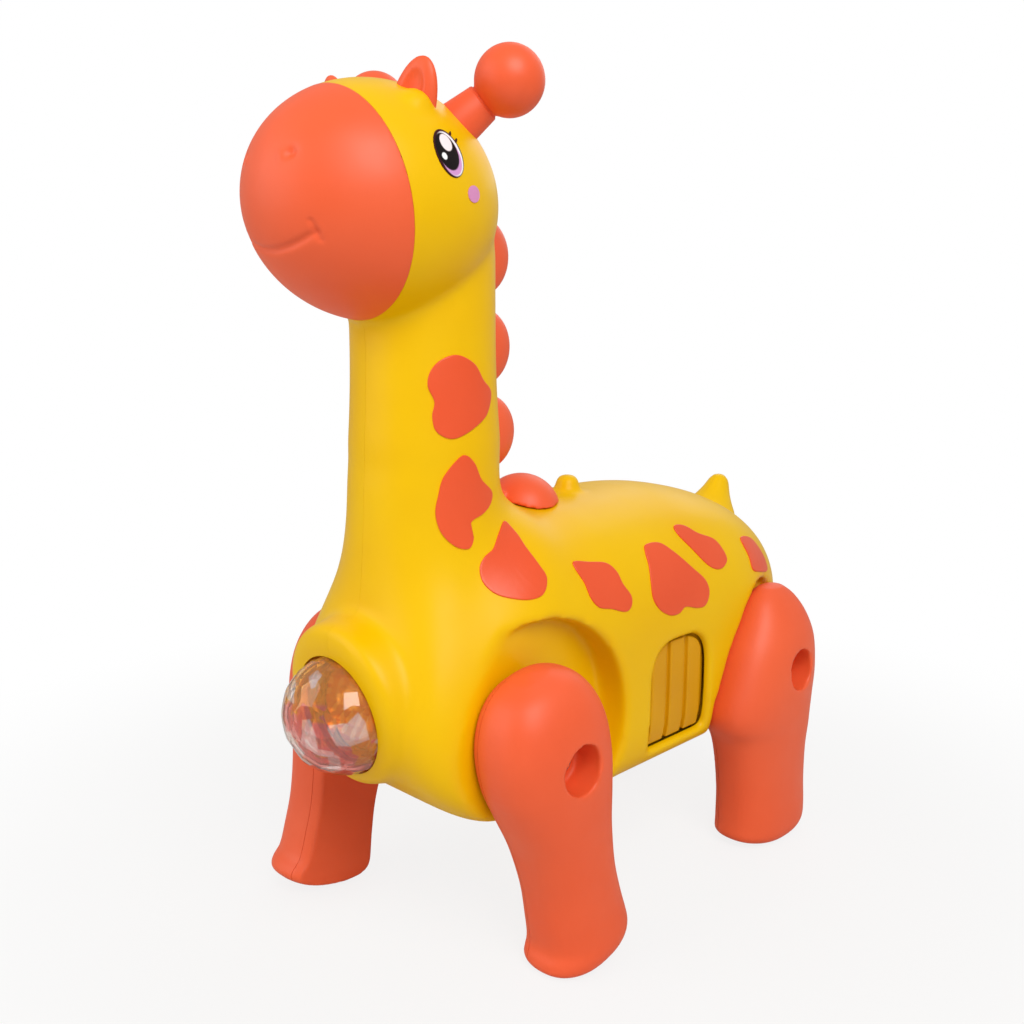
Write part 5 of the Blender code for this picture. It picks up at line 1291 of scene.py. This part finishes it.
@dataclass
class Casing:
    """The two yellow shells with neck, head cup, lamp collar, tail and hip dishes."""

    tail_y: float = 80.0 * MM
    tail_length: float = 20.6 * MM
    tail_base_radius: float = 9.5 * MM
    tail_tip_radius: float = 3.9 * MM
    tail_sink: float = 7.0 * MM
    nub_y: float = 6.0 * MM
    nub_radius: float = 3.8 * MM
    nub_top_z: float = 125.6 * MM
    # Openings in the belly: half width, both ends, top
    door_opening: Values = mm(21.3, -20.3, 43.3, 46.0)
    switch_slot: Values = mm(2.3, -41.8, -33.7, 52.0)
    screw_places: Tuple[Values, ...] = (mm(-52.0, 158.0), mm(-61.0, 109.0), mm(4.0, 108.0), mm(82.0, 88.0))
    screw_seat_x: float = 9.0 * MM
    counterbore: float = 3.0 * MM
    boss_radius: float = 4.2 * MM
    boss_wall: float = 2.0 * MM
    socket_wall: float = 2.3 * MM
    socket_ends: Values = mm(-8.0, 30.0)
    seam_gap: float = 0.06 * MM
    voxel: float = 0.85 * MM

    def tail(self, skin: Skin) -> Obj:
        """The short tail on the rump."""
        share = (self.tail_y - skin.back_fall_y) / (skin.rump_y - skin.back_fall_y)
        root_z = skin.rump_z + (skin.back_z - skin.rump_z) * math.sqrt(1.0 - share * share) - self.tail_sink
        tip, base, length = self.tail_tip_radius, self.tail_base_radius, self.tail_length
        line = curve_through([(radius * part, length * height) for radius, part, height in (
            (tip, 0.2, 0.999), (tip, 0.45, 0.985), (tip, 0.75, 0.935), (tip, 1.0, 0.857), (base, 0.5, 0.72),
            (base, 0.66, 0.57), (base, 0.81, 0.45), (base, 0.97, 0.33), (base, 1.0, 0.0))], 5)
        return turned(
            "tail_form", [(0.0, length), *line, (0.0, 0.0)], mid(self.tail_y, root_z), mid(0.5, 1.0).normalized())

    def nub(self, skin: Skin) -> Obj:
        """The small nub on the back."""
        rise, radius, root = self.nub_top_z - skin.back_z, self.nub_radius, -3.0 * MM
        line = curve_through((
            (radius * 0.6, rise - 0.4 * MM), (radius * 0.92, rise - 1.6 * MM), (radius, rise + root),
            (radius + 0.5 * MM, root)), 4)
        return turned("nub_form", [(0.0, rise), *line, (0.0, root)], mid(self.nub_y, skin.back_z), UP, 40)

    def screw_rods(self, name: str, radius: float, inner_x: float, steps: int) -> List[Obj]:
        """Rods on the axes of the casing screws, from a place of X out to the right."""
        return [
            rod(name, radius, Vector((inner_x, y, z)), Vector((-PAST_FLANK, y, z)), steps)
            for y, z in self.screw_places]

    def outside(self, skin: Skin, head: Head, lamp: Lamp, grille: Grille) -> Obj:
        """The casing's outside as one soft body, with its dishes, pockets and fillets.

        Args:
            skin: Form of the body and neck.
            head: Form of the head.
            lamp: Lamp with its collar.
            grille: Sound opening.

        Returns:
            The closed body.
        """
        form = skin.solid("casing_form")
        surface = tree_of(form)
        # What is joined on or cut in, with reach in mm and rounds of its fillet
        tools = [
            (Way.JOIN, lamp.collar("collar_form"), 1.5, 8), (Way.JOIN, self.tail(skin), 1.6, 10),
            (Way.JOIN, self.nub(skin), 1.2, 14), (Way.JOIN, head.form("head_form"), 1.3, 10)]
        tools += [(Way.JOIN, head.ear_root(side), 1.6, 12) for side in Side]
        for hip in (FRONT_HIP, REAR_HIP):
            tools += [(Way.CUT, dish, 1.5, 16) for dish in with_twin(hip.recess("dish_left", 0.0))]
        edges = []
        for way, tool, reach, rounds in tools:
            edges.append((tree_of(tool), reach * MM, rounds))
            combine(form, way, tool)
        pocket = prism("grille_pocket_left", grille.arch(0.0), grille.pocket_x, PAST_FLANK)
        bores = self.screw_rods("counterbore", self.counterbore, -self.screw_seat_x, 32)
        combine(form, Way.CUT, *with_twin(pocket), *bores)
        soft_cast(form, self.voxel, 3)
        for edge in edges:
            fillet(form, surface, *edge)
        return form

    def inside(self, skin: Skin, head: Head, lamp: Lamp) -> Obj:
        """The room inside the casing as a tool body."""
        room = skin.solid("casing_room", -skin.wall, 40, 1.6)
        for hip in (FRONT_HIP, REAR_HIP):
            wall, twin = with_twin(hip.recess("dish_wall_left", skin.wall))
            combine(room, Way.CUT, twin, wall)
        combine(room, Way.JOIN, head.form("head_room", -skin.wall, 40))
        socket = rod("lamp_socket", lamp.flange_radius + self.socket_wall, *map(lamp.at, self.socket_ends), 48)
        bosses = self.screw_rods("screw_boss", self.boss_radius, self.boss_wall - self.screw_seat_x, 24)
        return combine(room, Way.CUT, socket, *bosses)

    def build(self, skin: Skin, head: Head, lamp: Lamp, grille: Grille, finish: Finish) -> None:
        """Models both shells."""
        form = self.outside(skin, head, lamp, grille)
        openings = [
            block(name, (-half, front, 0.0), (half, rear, top)) for name, (half, front, rear, top) in (
                ("door_opening", self.door_opening), ("switch_slot", self.switch_slot))]
        combine(
            form, Way.CUT, self.inside(skin, head, lamp), lamp.bore("lens_bore"), head.muzzle_space("muzzle_space"),
            *openings, solver=Solver.FAST)
        for side in Side:
            shell = copy_of(form, f"casing_shell_{side.word}")
            other = slab("other_half", -0.2 * side.value, self.seam_gap / 2.0 * side.value)
            combine(shell, Way.CUT, other, solver=Solver.FAST)
            dress(smooth_faces(shell, 50.0), finish, Body.CASING, Slot.YELLOW, f"body_casing_{side.word}")
        drop(form)


@dataclass
class Mane:
    """The crest of rounded lobes down the back of the neck."""

    radius: float = 11.0 * MM
    strip_rise: float = 3.0 * MM
    strip_half: float = 2.2 * MM
    gap: float = 0.3 * MM
    voxel: float = 0.55 * MM
    # Lobes: Y and Z of the middle, half thickness
    lobes: Tuple[Values, ...] = (
        mm(-31.6, 189.8, 5.0), mm(-31.1, 165.3, 5.0), mm(-29.8, 141.5, 6.0), mm(-14.2, 117.0, 12.0))

    def build(self, skin: Skin, head: Head, finish: Finish) -> None:
        """Models the crest as one piece that sits on the neck."""
        crest = skin.solid("mane_crest", self.strip_rise, 64, 2.5)
        combine(crest, Way.COMMON, block(
            "mane_band", (-self.strip_half, skin.neck_y + 8.0 * MM, self.lobes[3][1] + 2.0 * MM),
            (self.strip_half, self.lobes[3][0], self.lobes[0][1] - 4.0 * MM)))
        for y, z, half in self.lobes:
            place = sized(Matrix.Translation((0.0, y, z)), half, self.radius, self.radius)
            combine(crest, Way.JOIN, ellipsoid("mane_lobe", place @ Matrix.Rotation(math.pi / 2.0, 4, "Y"), 64, 40))
        combine(crest, Way.CUT, skin.solid("mane_seat", self.gap, 72, 3.0), head.form("head_seat", self.gap, 64))
        soft_cast(crest, self.voxel, 5)
        dress(smooth_faces(crest, 60.0), finish, Body.CASING, Slot.ORANGE, "mane")


@dataclass
class Leg:
    """A leg: outer moulding and inner cover, with a round recess for its screw."""

    name: str
    hip: Hip
    step_angle: float
    split: float = 5.0 * MM
    roundness: float = 2.4
    seam_gap: float = 0.16 * MM
    recess_radius: float = 6.7 * MM
    recess_end: float = 80.0 * MM
    voxel: float = 0.6 * MM
    points: int = 72

    def form(self, name: str, side: Side) -> Obj:
        """The whole leg as a closed body on its hip."""
        hip, size, power = self.hip, MM * self.hip.scale, 2.0 / self.roundness
        turn = Matrix.Translation((0.0, hip.y, hip.z)) @ Matrix.Rotation(self.step_angle * side.value, 4, "X")
        turns = [2.0 * math.pi * (index + 0.5) / self.points for index in range(self.points)]
        shape = [(signed_power(math.cos(angle), power), signed_power(math.sin(angle), power)) for angle in turns]
        rings = [[turn @ Vector((
            side.value * (hip.x + half * size * across),
            ((back - ahead) / 2.0 + (ahead + back) / 2.0 * reach) * size, height * size)) for across, reach in shape]
            for height, ahead, back, half in curve_through(hip.sections, 4)]
        return loft(name, rings, turn @ Vector((side.value * hip.x, 0.0, hip.top * size)))

    def build(self, side: Side, body: Body, finish: Finish) -> None:
        """Models the outer moulding and the cover of one side."""
        hip, sign, half_gap = self.hip, side.value, self.seam_gap / 2.0
        form = self.form(f"{self.name}_leg_form_{side.word}", side)
        floor, end = (Vector((sign * x, hip.y, hip.z)) for x in (hip.recess_x, self.recess_end))
        recess = rod("recess", self.recess_radius, floor, end)
        combine(form, Way.CUT, slab("inner_side", 0.0, sign * hip.inner_x), recess)
        soft_cast(form, self.voxel, 4)
        split = hip.x - self.split * hip.scale
        for kind, near, far in (("outer", 0.0, split + half_gap), ("cover", split - half_gap, 0.1)):
            piece = copy_of(form, f"{self.name}_{kind}_{side.word}")
            combine(piece, Way.CUT, slab("other_part", sign * near, sign * far))
            dress(smooth_faces(piece, 50.0), finish, body, Slot.ORANGE, f"{self.name}_leg_{kind}_{side.word}")
        drop(form)


@dataclass
class Spots:
    """Orange lacquer spots on neck and flank, a little raised, and printed eyes and cheeks on the head."""

    rise: float = 0.35 * MM
    edge: float = 0.22 * MM
    film: float = 0.12 * MM
    # Outlines of the spots on the side of the toy: Y and Z in turn, in mm
    outlines: Tuple[Tuple[str, Values], ...] = (
        ("neck_high", (
            -56, 165, -51, 162.5, -48, 158.5, -44.5, 155, -46.5, 150, -51, 147, -58, 144.2, -62, 146, -62.8, 150,
            -62.2, 153.6, -63.4, 157.6, -62.6, 161.5, -60, 164.2)),
        ("neck_low", (
            -56, 139.8, -52.5, 137.6, -50, 133, -45.6, 129.2, -46.2, 126.4, -49.4, 124.2, -53.6, 122.8, -54.4, 121,
            -53.8, 118.2, -55.6, 115.8, -59.2, 116.8, -62.2, 120.4, -63.2, 125.4, -62.4, 130, -60.8, 135)),
        ("shoulder", (
            -41, 120.6, -38.6, 117.4, -38.2, 113.8, -37.4, 109.8, -36.8, 106.4, -39.4, 103, -43.4, 102, -48, 102.6,
            -52, 104.2, -54, 107.2, -53.6, 110.8, -51.4, 113.2, -48.2, 114.8, -45, 118)),
        ("flank_front", (
            -24.2, 108.2, -18.5, 107.2, -12.4, 106, -9.6, 103.4, -8.6, 99.8, -6.3, 96, -7.2, 93.2, -10, 92.4,
            -15.2, 94.2, -20.2, 95.6, -22.8, 98.6, -23.6, 102.8, -24.9, 106.4)),
        ("flank_middle", (
            7.2, 107.8, 13.2, 107.4, 17.8, 104.2, 23.8, 98.8, 29, 94.2, 30.2, 90.2, 28, 86.8, 24, 86.6, 17.8, 88.2,
            14.6, 86.9, 10.2, 87.2, 5.6, 89.8, 3, 93.6, 3.4, 98, 4.6, 102.6, 5.4, 106.2)),
        ("flank_high", (
            23.8, 110.4, 28.2, 110, 32.8, 107.2, 39.2, 104.6, 41.8, 101.2, 42.4, 97.8, 39, 96, 35, 96.4, 31, 98.8,
            26.8, 103.4, 23.3, 108)),
        ("rump", (
            55.4, 102, 63.2, 100.8, 67.8, 96.8, 70.6, 92, 70, 88.9, 62.6, 90.2, 57, 92, 56.4, 96.2)))
    cheek: Values = mm(-58.8, 203.1)
    cheek_halves: Values = mm(2.25, 1.95)
    eye_halves: Values = mm(4.15, 5.5)
    eye_turn: float = math.radians(14.0)
    # Lashes: root and tip (Y, Z) in mm from the middle of the eye
    lashes: Tuple[Values, ...] = ((1.7, 4.0, 2.8, 5.3), (2.9, 2.6, 4.2, 3.8))
    lash_half: float = 0.3 * MM

    def patch(self, name: str, outline: Outline, side: Side, base: Obj, rise: float) -> Obj:
        """A thin layer on a surface, inside an outline on the side of the toy.

        Args:
            name: Name of the piece.
            outline: Closed outline of (Y, Z).
            side: Side of the toy.
            base: Body whose surface it lies on.
            rise: How far it stands out.

        Returns:
            The piece.
        """
        middle = sum((Vector(point) for point in outline), Vector((0.0, 0.0))) / len(outline)
        shares = (0.12, 0.25, 0.37, 0.5, 0.62, 0.74, 0.84, 0.92, 1.0)
        flat = [[middle + (Vector(point) - middle) * share for point in outline] for share in shares]
        rings = [[Vector((side.value * 0.09, *place)) for place in ring] for ring in (*flat, [middle])]
        layer = loft(name, rings[:-1], rings[-1][0], close_end=False)
        modify(
            layer, "SHRINKWRAP", target=base, wrap_method="PROJECT", use_project_x=True,
            use_negative_direction=side is Side.LEFT, use_positive_direction=side is Side.RIGHT)
        modify(layer, "SOLIDIFY", thickness=2.0 * rise, offset=0.0)
        with editing(layer):
            face_out()
        return layer

    def ellipse(self, middle: Sequence[float], halves: Values, turn: float) -> Outline:
        """Outline of a turned ellipse."""
        spin, made = Matrix.Rotation(turn, 2), []
        for index in range(56):
            angle = 2.0 * math.pi * index / 56
            reach = Vector((halves[0] * math.cos(angle), halves[1] * math.sin(angle)))
            made.append(tuple(Vector(middle) + spin @ reach))
        return made

    def prints(self) -> List[Tuple[str, str, Outline]]:
        """Name, ink and outline of each print on a cheek."""
        made = [
            ("eye_print", "eye", self.ellipse((EYE_Y, EYE_Z), self.eye_halves, self.eye_turn)),
            ("cheek_print", "cheek", self.ellipse(self.cheek, self.cheek_halves, 0.0))]
        for index, values in enumerate(self.lashes):
            root, tip = Vector(values[:2]), Vector(values[2:])
            middle, span = Vector((EYE_Y, EYE_Z)) + (root + tip) / 2.0 * MM, tip - root
            halves = (span.length / 2.0 * MM, self.lash_half)
            made.append((
                f"lash_print_{index + 1}", "lash", self.ellipse(middle, halves, math.atan2(span.y, span.x))))
        return made

    def build(self, skin: Skin, head: Head, finishes: Dict[str, Finish]) -> None:
        """Models every spot, eye, lash and cheek."""
        body, face = skin.solid("spot_base"), head.form("face_base", 0.0, 128)
        for side in Side:
            for label, values in self.outlines:
                outline = [mm(*point) for point in curve_through(list(zip(values[::2], values[1::2])), 6, True)]
                spot = self.patch(f"spot_{label}_{side.word}", outline, side, body, self.rise)
                dress(smooth_faces(bevel(spot, self.edge), 35.0), finishes["paint"], Body.CASING, Slot.ORANGE)
            for label, ink, outline in self.prints():
                film = self.patch(f"{label}_{side.word}", outline, side, face, self.film)
                dress(smooth_faces(film, 35.0), finishes[ink], Body.CASING, Slot.YELLOW)
        drop(body, face)


@dataclass
class Fixings:
    """Screws with a cross recess, the battery door and the switch's knob."""

    # Sizes of screws: radius and height of the head, radius and length of the shank
    casing_screw: Values = mm(2.7, 2.0, 1.4, 18.0)
    leg_screw: Values = mm(3.2, 2.4, 1.5, 17.3)
    door_screw: Values = mm(2.6, 0.9, 1.3, 12.0)
    under: float = 0.15 * MM
    # Cross recess: half length and half width by the radius, floor by the height, turn
    cross: Values = (0.62, 0.13, 0.45, 0.4)
    door_screw_place: Values = mm(0.0, 39.5, 40.9)
    door_half: float = 21.0 * MM
    door_ends: Values = mm(-20.0, 43.0)
    door_top_z: float = 48.0 * MM
    # Bores of the door: radius and top
    door_counterbore: Values = mm(2.9, 41.0)
    door_bore: Values = mm(1.42, 60.0)
    door_voxel: float = 0.42 * MM
    # Grip ribs: first and last place; half length, half width and depth
    grip_ends: Values = mm(-15.0, -6.0)
    grip: Values = mm(9.0, 0.5, 0.6)
    knob_half: float = 2.0 * MM
    knob_plate: float = 1.2 * MM
    knob_edge: float = 0.12 * MM
    # Grooves of the knob: half length, half width, depth and pitch
    groove: Values = mm(3.0, 0.25, 0.35, 1.1)

    def screw(self, name: str, size: Values, place: Vector, way: Vector) -> Obj:
        """A pan-head screw with a cross recess.

        Args:
            name: Name of the piece.
            size: Radius and height of the head, radius and length of the shank.
            place: Middle of the head's under side.
            way: Way that the head faces.

        Returns:
            The screw.
        """
        radius, head, shank, end = size
        dome = ((0.0, 1.0), (0.5, 0.97), (0.8, 0.8), (0.96, 0.5), (1.0, 0.25))
        screw = turned(name, (
            *((radius * part, head * height) for part, height in dome), (radius, self.under), (shank, self.under),
            (shank, -end + shank), (0.0, -end)), place, way, 32)
        half, width, floor, first = self.cross
        for turn in (first, first + math.pi / 2.0):
            slot = block(
                "cross_slot", (-radius * half, -radius * width, head * floor),
                (radius * half, radius * width, head * 2.0))
            slot.data.transform(along(place, way) @ Matrix.Rotation(turn, 4, "Z"))
            combine(screw, Way.CUT, slot)
        return smooth_faces(screw, 35.0)

    def build_screws(self, casing: Casing, finish: Finish) -> None:
        """Models every screw in its place."""
        across = Vector((1.0, 0.0, 0.0))
        rows = [
            (f"casing_screw_{number}", self.casing_screw, Vector((-casing.screw_seat_x, *place)), -across, Body.CASING)
            for number, place in enumerate(casing.screw_places, 1)]
        for label, hip, bodies in (
            ("front", FRONT_HIP, (Body.LEG_LEFT, Body.LEG_RIGHT)), ("rear", REAR_HIP, (Body.CASING, Body.CASING)),
        ):
            rows += [
                (f"{label}_leg_screw_{side.word}", self.leg_screw,
                 Vector((side.value * hip.recess_x, hip.y, hip.z)), across * side.value, body)
                for side, body in zip(Side, bodies)]
        rows.append(("battery_door_screw", self.door_screw, Vector(self.door_screw_place), -UP, Body.DOOR))
        for name, size, place, way, body in rows:
            dress(self.screw(f"{name}_pan", size, place, way), finish, body, Slot.STEEL, name)

    def build_door(self, skin: Skin, finish: Finish) -> None:
        """Models the battery door: a flush plate with grip ribs and a sunk screw."""
        half, (front, rear), (first, last) = self.door_half, self.door_ends, self.grip_ends
        door = block("battery_hatch", (-half, front, 0.0), (half, rear, self.door_top_z))
        combine(door, Way.COMMON, skin.solid("door_face", 0.0, 72, 2.5))
        combine(door, Way.CUT, skin.solid("door_back", -skin.wall, 56, 2.0))
        for name, (radius, top), steps in (
            ("door_counterbore", self.door_counterbore, 40), ("door_bore", self.door_bore, 32),
        ):
            axis = [mid(self.door_screw_place[1], z) for z in (0.0, top)]
            combine(door, Way.CUT, rod(name, radius, *axis, steps))
        reach, width, depth = self.grip
        for index in range(5):
            y = first + (last - first) * index / 4
            combine(door, Way.CUT, block("grip", (-reach, y - width, 0.0), (reach, y + width, skin.belly_z + depth)))
        soft_cast(door, self.door_voxel, 2)
        dress(smooth_faces(door, 60.0), finish, Body.DOOR, Slot.YELLOW, "battery_door")

    def build_switch(self, finish: Finish) -> None:
        """Models the switch's knob with its grip ridges."""
        low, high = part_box("switch_slider")
        half, middle_y, plate_z = self.knob_half, (low.y + high.y) / 2.0, high.z - self.knob_plate
        knob = block("switch_knob", (-half, middle_y - half, low.z), (half, middle_y + half, plate_z + 0.5 * MM))
        combine(knob, Way.JOIN, block("knob_plate", (low.x, low.y, plate_z), (high.x, high.y, high.z)))
        reach, width, depth, pitch = self.groove
        for y in (middle_y - pitch, middle_y, middle_y + pitch):
            combine(knob, Way.CUT, block(
                "knob_groove", (-reach, y - width, low.z - MM), (reach, y + width, low.z + depth)))
        dress(smooth_faces(bevel(knob, self.knob_edge, 2), 35.0), finish, Body.SWITCH, Slot.GREY, "switch_slider")


@dataclass
class Works:
    """The works inside, which keep their own solids and get their finishes."""

    groups: Tuple[Tuple[str, str], ...] = (
        ("steel", "battery_contact_front battery_contact_rear crank_shaft first_gear_pin second_gear_pin"),
        ("white", "crank_gear second_gear first_gear motor_pinion crank_left crank_right rocker_left rocker_right"),
        ("grey", "battery_box switch_body speaker gear_plate_left gear_plate_right"),
        ("board", "circuit_board lamp_board"), ("cell", "battery_1 battery_2 battery_3"), ("motor", "motor"),
        ("led", "lamp_led"))

    def dress(self, nodes: Dict[str, Obj], finishes: Dict[str, Finish]) -> None:
        """Gives each inner node its finish."""
        for finish, names in self.groups:
            for name in names.split():
                mesh = nodes[name].data
                mesh.materials.clear()
                mesh.materials.append(finishes[finish])
                LOG.info("%s keeps its solid, finish %s", name, finish)


@dataclass
class Studio:
    """Pale floor, soft lamps, and the camera at the photograph's angle."""

    camera_place: Values = (0.2254, -0.2459, 0.1821)
    azimuth: float = math.radians(44.7)
    pitch: float = math.radians(11.5)
    focal_pixels: float = 1115.0
    image_pixels: float = 1024.0
    sensor: float = 36.0
    white: str = "FFFFFF"
    room_light: float = 0.47
    floor_size: float = 6.0
    floor_colour: str = "CFCBC6"
    floor_grain: float = 1.0 / 900.0
    floor_grain_depth: float = 0.02 * MM
    # How far from the toy the floor fades to white, and from which share
    floor_fade: Values = (0.11, 0.30)
    floor_white: float = 0.84
    aim: Values = (0.0, 0.0, 0.11)
    # Lamps: name, place, size, power in watts
    lamps: Tuple[Tuple[str, Values, float, float], ...] = (
        ("key", (0.62, -0.30, 0.72), 0.5, 5.2), ("fill", (-0.35, -0.75, 0.45), 0.7, 2.5),
        ("rear", (-0.25, 0.7, 0.6), 0.6, 1.2))

    def place(self, data: bpy.types.ID, matrix: Matrix) -> Obj:
        """Sets a camera or a lamp in its place."""
        obj = bpy.data.objects.new(data.name, data)
        bpy.context.scene.collection.objects.link(obj)
        obj.matrix_world = matrix
        return obj

    def camera(self) -> None:
        """Sets the camera."""
        data = bpy.data.cameras.new("photo_camera")
        data.sensor_width = self.sensor
        data.lens = self.sensor * self.focal_pixels / self.image_pixels
        data.clip_start = 0.01
        level = Vector((-math.sin(self.azimuth), math.cos(self.azimuth), 0.0))
        ahead = level * math.cos(self.pitch) - UP * math.sin(self.pitch)
        upward = UP * math.cos(self.pitch) + level * math.sin(self.pitch)
        turn = Matrix((ahead.cross(upward), upward, -ahead)).transposed().to_4x4()
        bpy.context.scene.camera = self.place(data, Matrix.Translation(self.camera_place) @ turn)

    def light(self) -> None:
        """Sets the lamps and the white surroundings."""
        for name, place, size, power in self.lamps:
            data = bpy.data.lights.new(name, "AREA")
            data.size, data.energy = size, power
            turn = (Vector(self.aim) - Vector(place)).to_track_quat("-Z", "Y").to_matrix().to_4x4()
            self.place(data, Matrix.Translation(place) @ turn)
        world = bpy.data.worlds.new("white_room")
        bpy.context.scene.world = world
        world.use_nodes = True
        tree = world.node_tree
        plain = tree.nodes["Background"]
        plain.inputs["Color"].default_value = linear(self.white)
        plain.inputs["Strength"].default_value = self.room_light
        bright = add_node(tree, "Background", {"Color": linear(self.white), "Strength": 1.0})
        mixed = add_node(
            tree, "MixShader", None, {0: seen_directly(tree), 1: plain.outputs[0], 2: bright.outputs[0]})
        tree.links.new(mixed.outputs[0], tree.nodes["World Output"].inputs["Surface"])
        bpy.context.scene.view_settings.view_transform = "Standard"

    def floor(self) -> None:
        """Lays the floor, a sheet of matt card that fades to white where the camera sees it."""
        deselect()
        bpy.ops.mesh.primitive_plane_add(size=self.floor_size, location=(0.0, 0.0, 0.0))
        floor = named("studio_floor")
        nodes = Nodes("matt_white_card")
        grain = nodes.bump(nodes.noise(self.floor_grain, 2.0), self.floor_grain_depth, 0.2)
        card = nodes.finish({"Base Color": self.floor_colour, "Roughness": 0.9, "Normal": grain})
        reach = nodes.add("VectorMath", {"operation": "LENGTH"}, {0: nodes.where}).outputs["Value"]
        far = nodes.ramp(reach, *self.floor_fade, self.floor_white)
        far.node.interpolation_type = "SMOOTHSTEP"
        share = nodes.add("Math", {"operation": "MULTIPLY"}, {0: far, 1: seen_directly(nodes.tree)})
        white = nodes.add("Emission", {"Color": linear(self.white), "Strength": 1.0})
        mixed = nodes.add(
            "MixShader", None, {0: share.outputs[0], 1: nodes.shader.outputs[0], 2: white.outputs[0]})
        nodes.tree.links.new(mixed.outputs[0], nodes.tree.nodes["Material Output"].inputs["Surface"])
        floor.data.materials.append(card)

    def build(self) -> None:
        """Sets up camera, light and floor."""
        self.camera()
        self.light()
        self.floor()


def main() -> None:
    """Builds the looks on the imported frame, sub-assembly by sub-assembly."""
    logging.basicConfig(level=logging.INFO, format="%(name)s: %(message)s")
    drop(*bpy.data.objects)
    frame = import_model()
    deselect()
    Studio().build()
    yellow, orange, steel, grey = (
        finish.material() for finish in (YELLOW_ABS, ORANGE_ABS, ZINC_STEEL, GREY_ABS))
    skin, head, lamp, grille, casing = Skin(), Head(), Lamp(), Grille(), Casing()
    casing.build(skin, head, lamp, grille, yellow)
    head.build_muzzle(orange)
    crown = Crown()
    crown.build_ears(orange)
    crown.build_horns(orange)
    Mane().build(skin, head, orange)
    # The dome's colours and the bowl's patches are painted reflection and painted highlights
    lamp.build_dome(LENS_PAINTED_REFLECTIONS.material())
    lamp.build_bowl(BOWL_PAINTED_REFLECTIONS.material())
    # The grille's darker yellow is painted shade of its recess
    grille.build(skin, GRILLE_PAINTED_SHADE_ABS.material())
    front, rear = Leg("front", FRONT_HIP, math.radians(13.0)), Leg("rear", REAR_HIP, 0.0)
    for side, body in zip(Side, (Body.LEG_LEFT, Body.LEG_RIGHT)):
        front.build(side, body, orange)
        rear.build(side, Body.CASING, orange)
    Spots().build(skin, head, {
        "paint": ORANGE_PAINT.material(), "eye": EYE_PRINT.material(), "cheek": CHEEK_INK.material(),
        "lash": LASH_INK.material()})
    fixings = Fixings()
    fixings.build_screws(casing, steel)
    fixings.build_door(skin, yellow)
    fixings.build_switch(grey)
    Works().dress(frame["nodes"], {
        "steel": steel, "white": WHITE_ACETAL.material(), "grey": grey, "board": GREEN_BOARD.material(),
        "cell": CELL_FILM.material(), "motor": MOTOR_CAN.material(), "led": CLEAR_LED.material()})
    deselect()


if __name__ == "__main__":
    main()
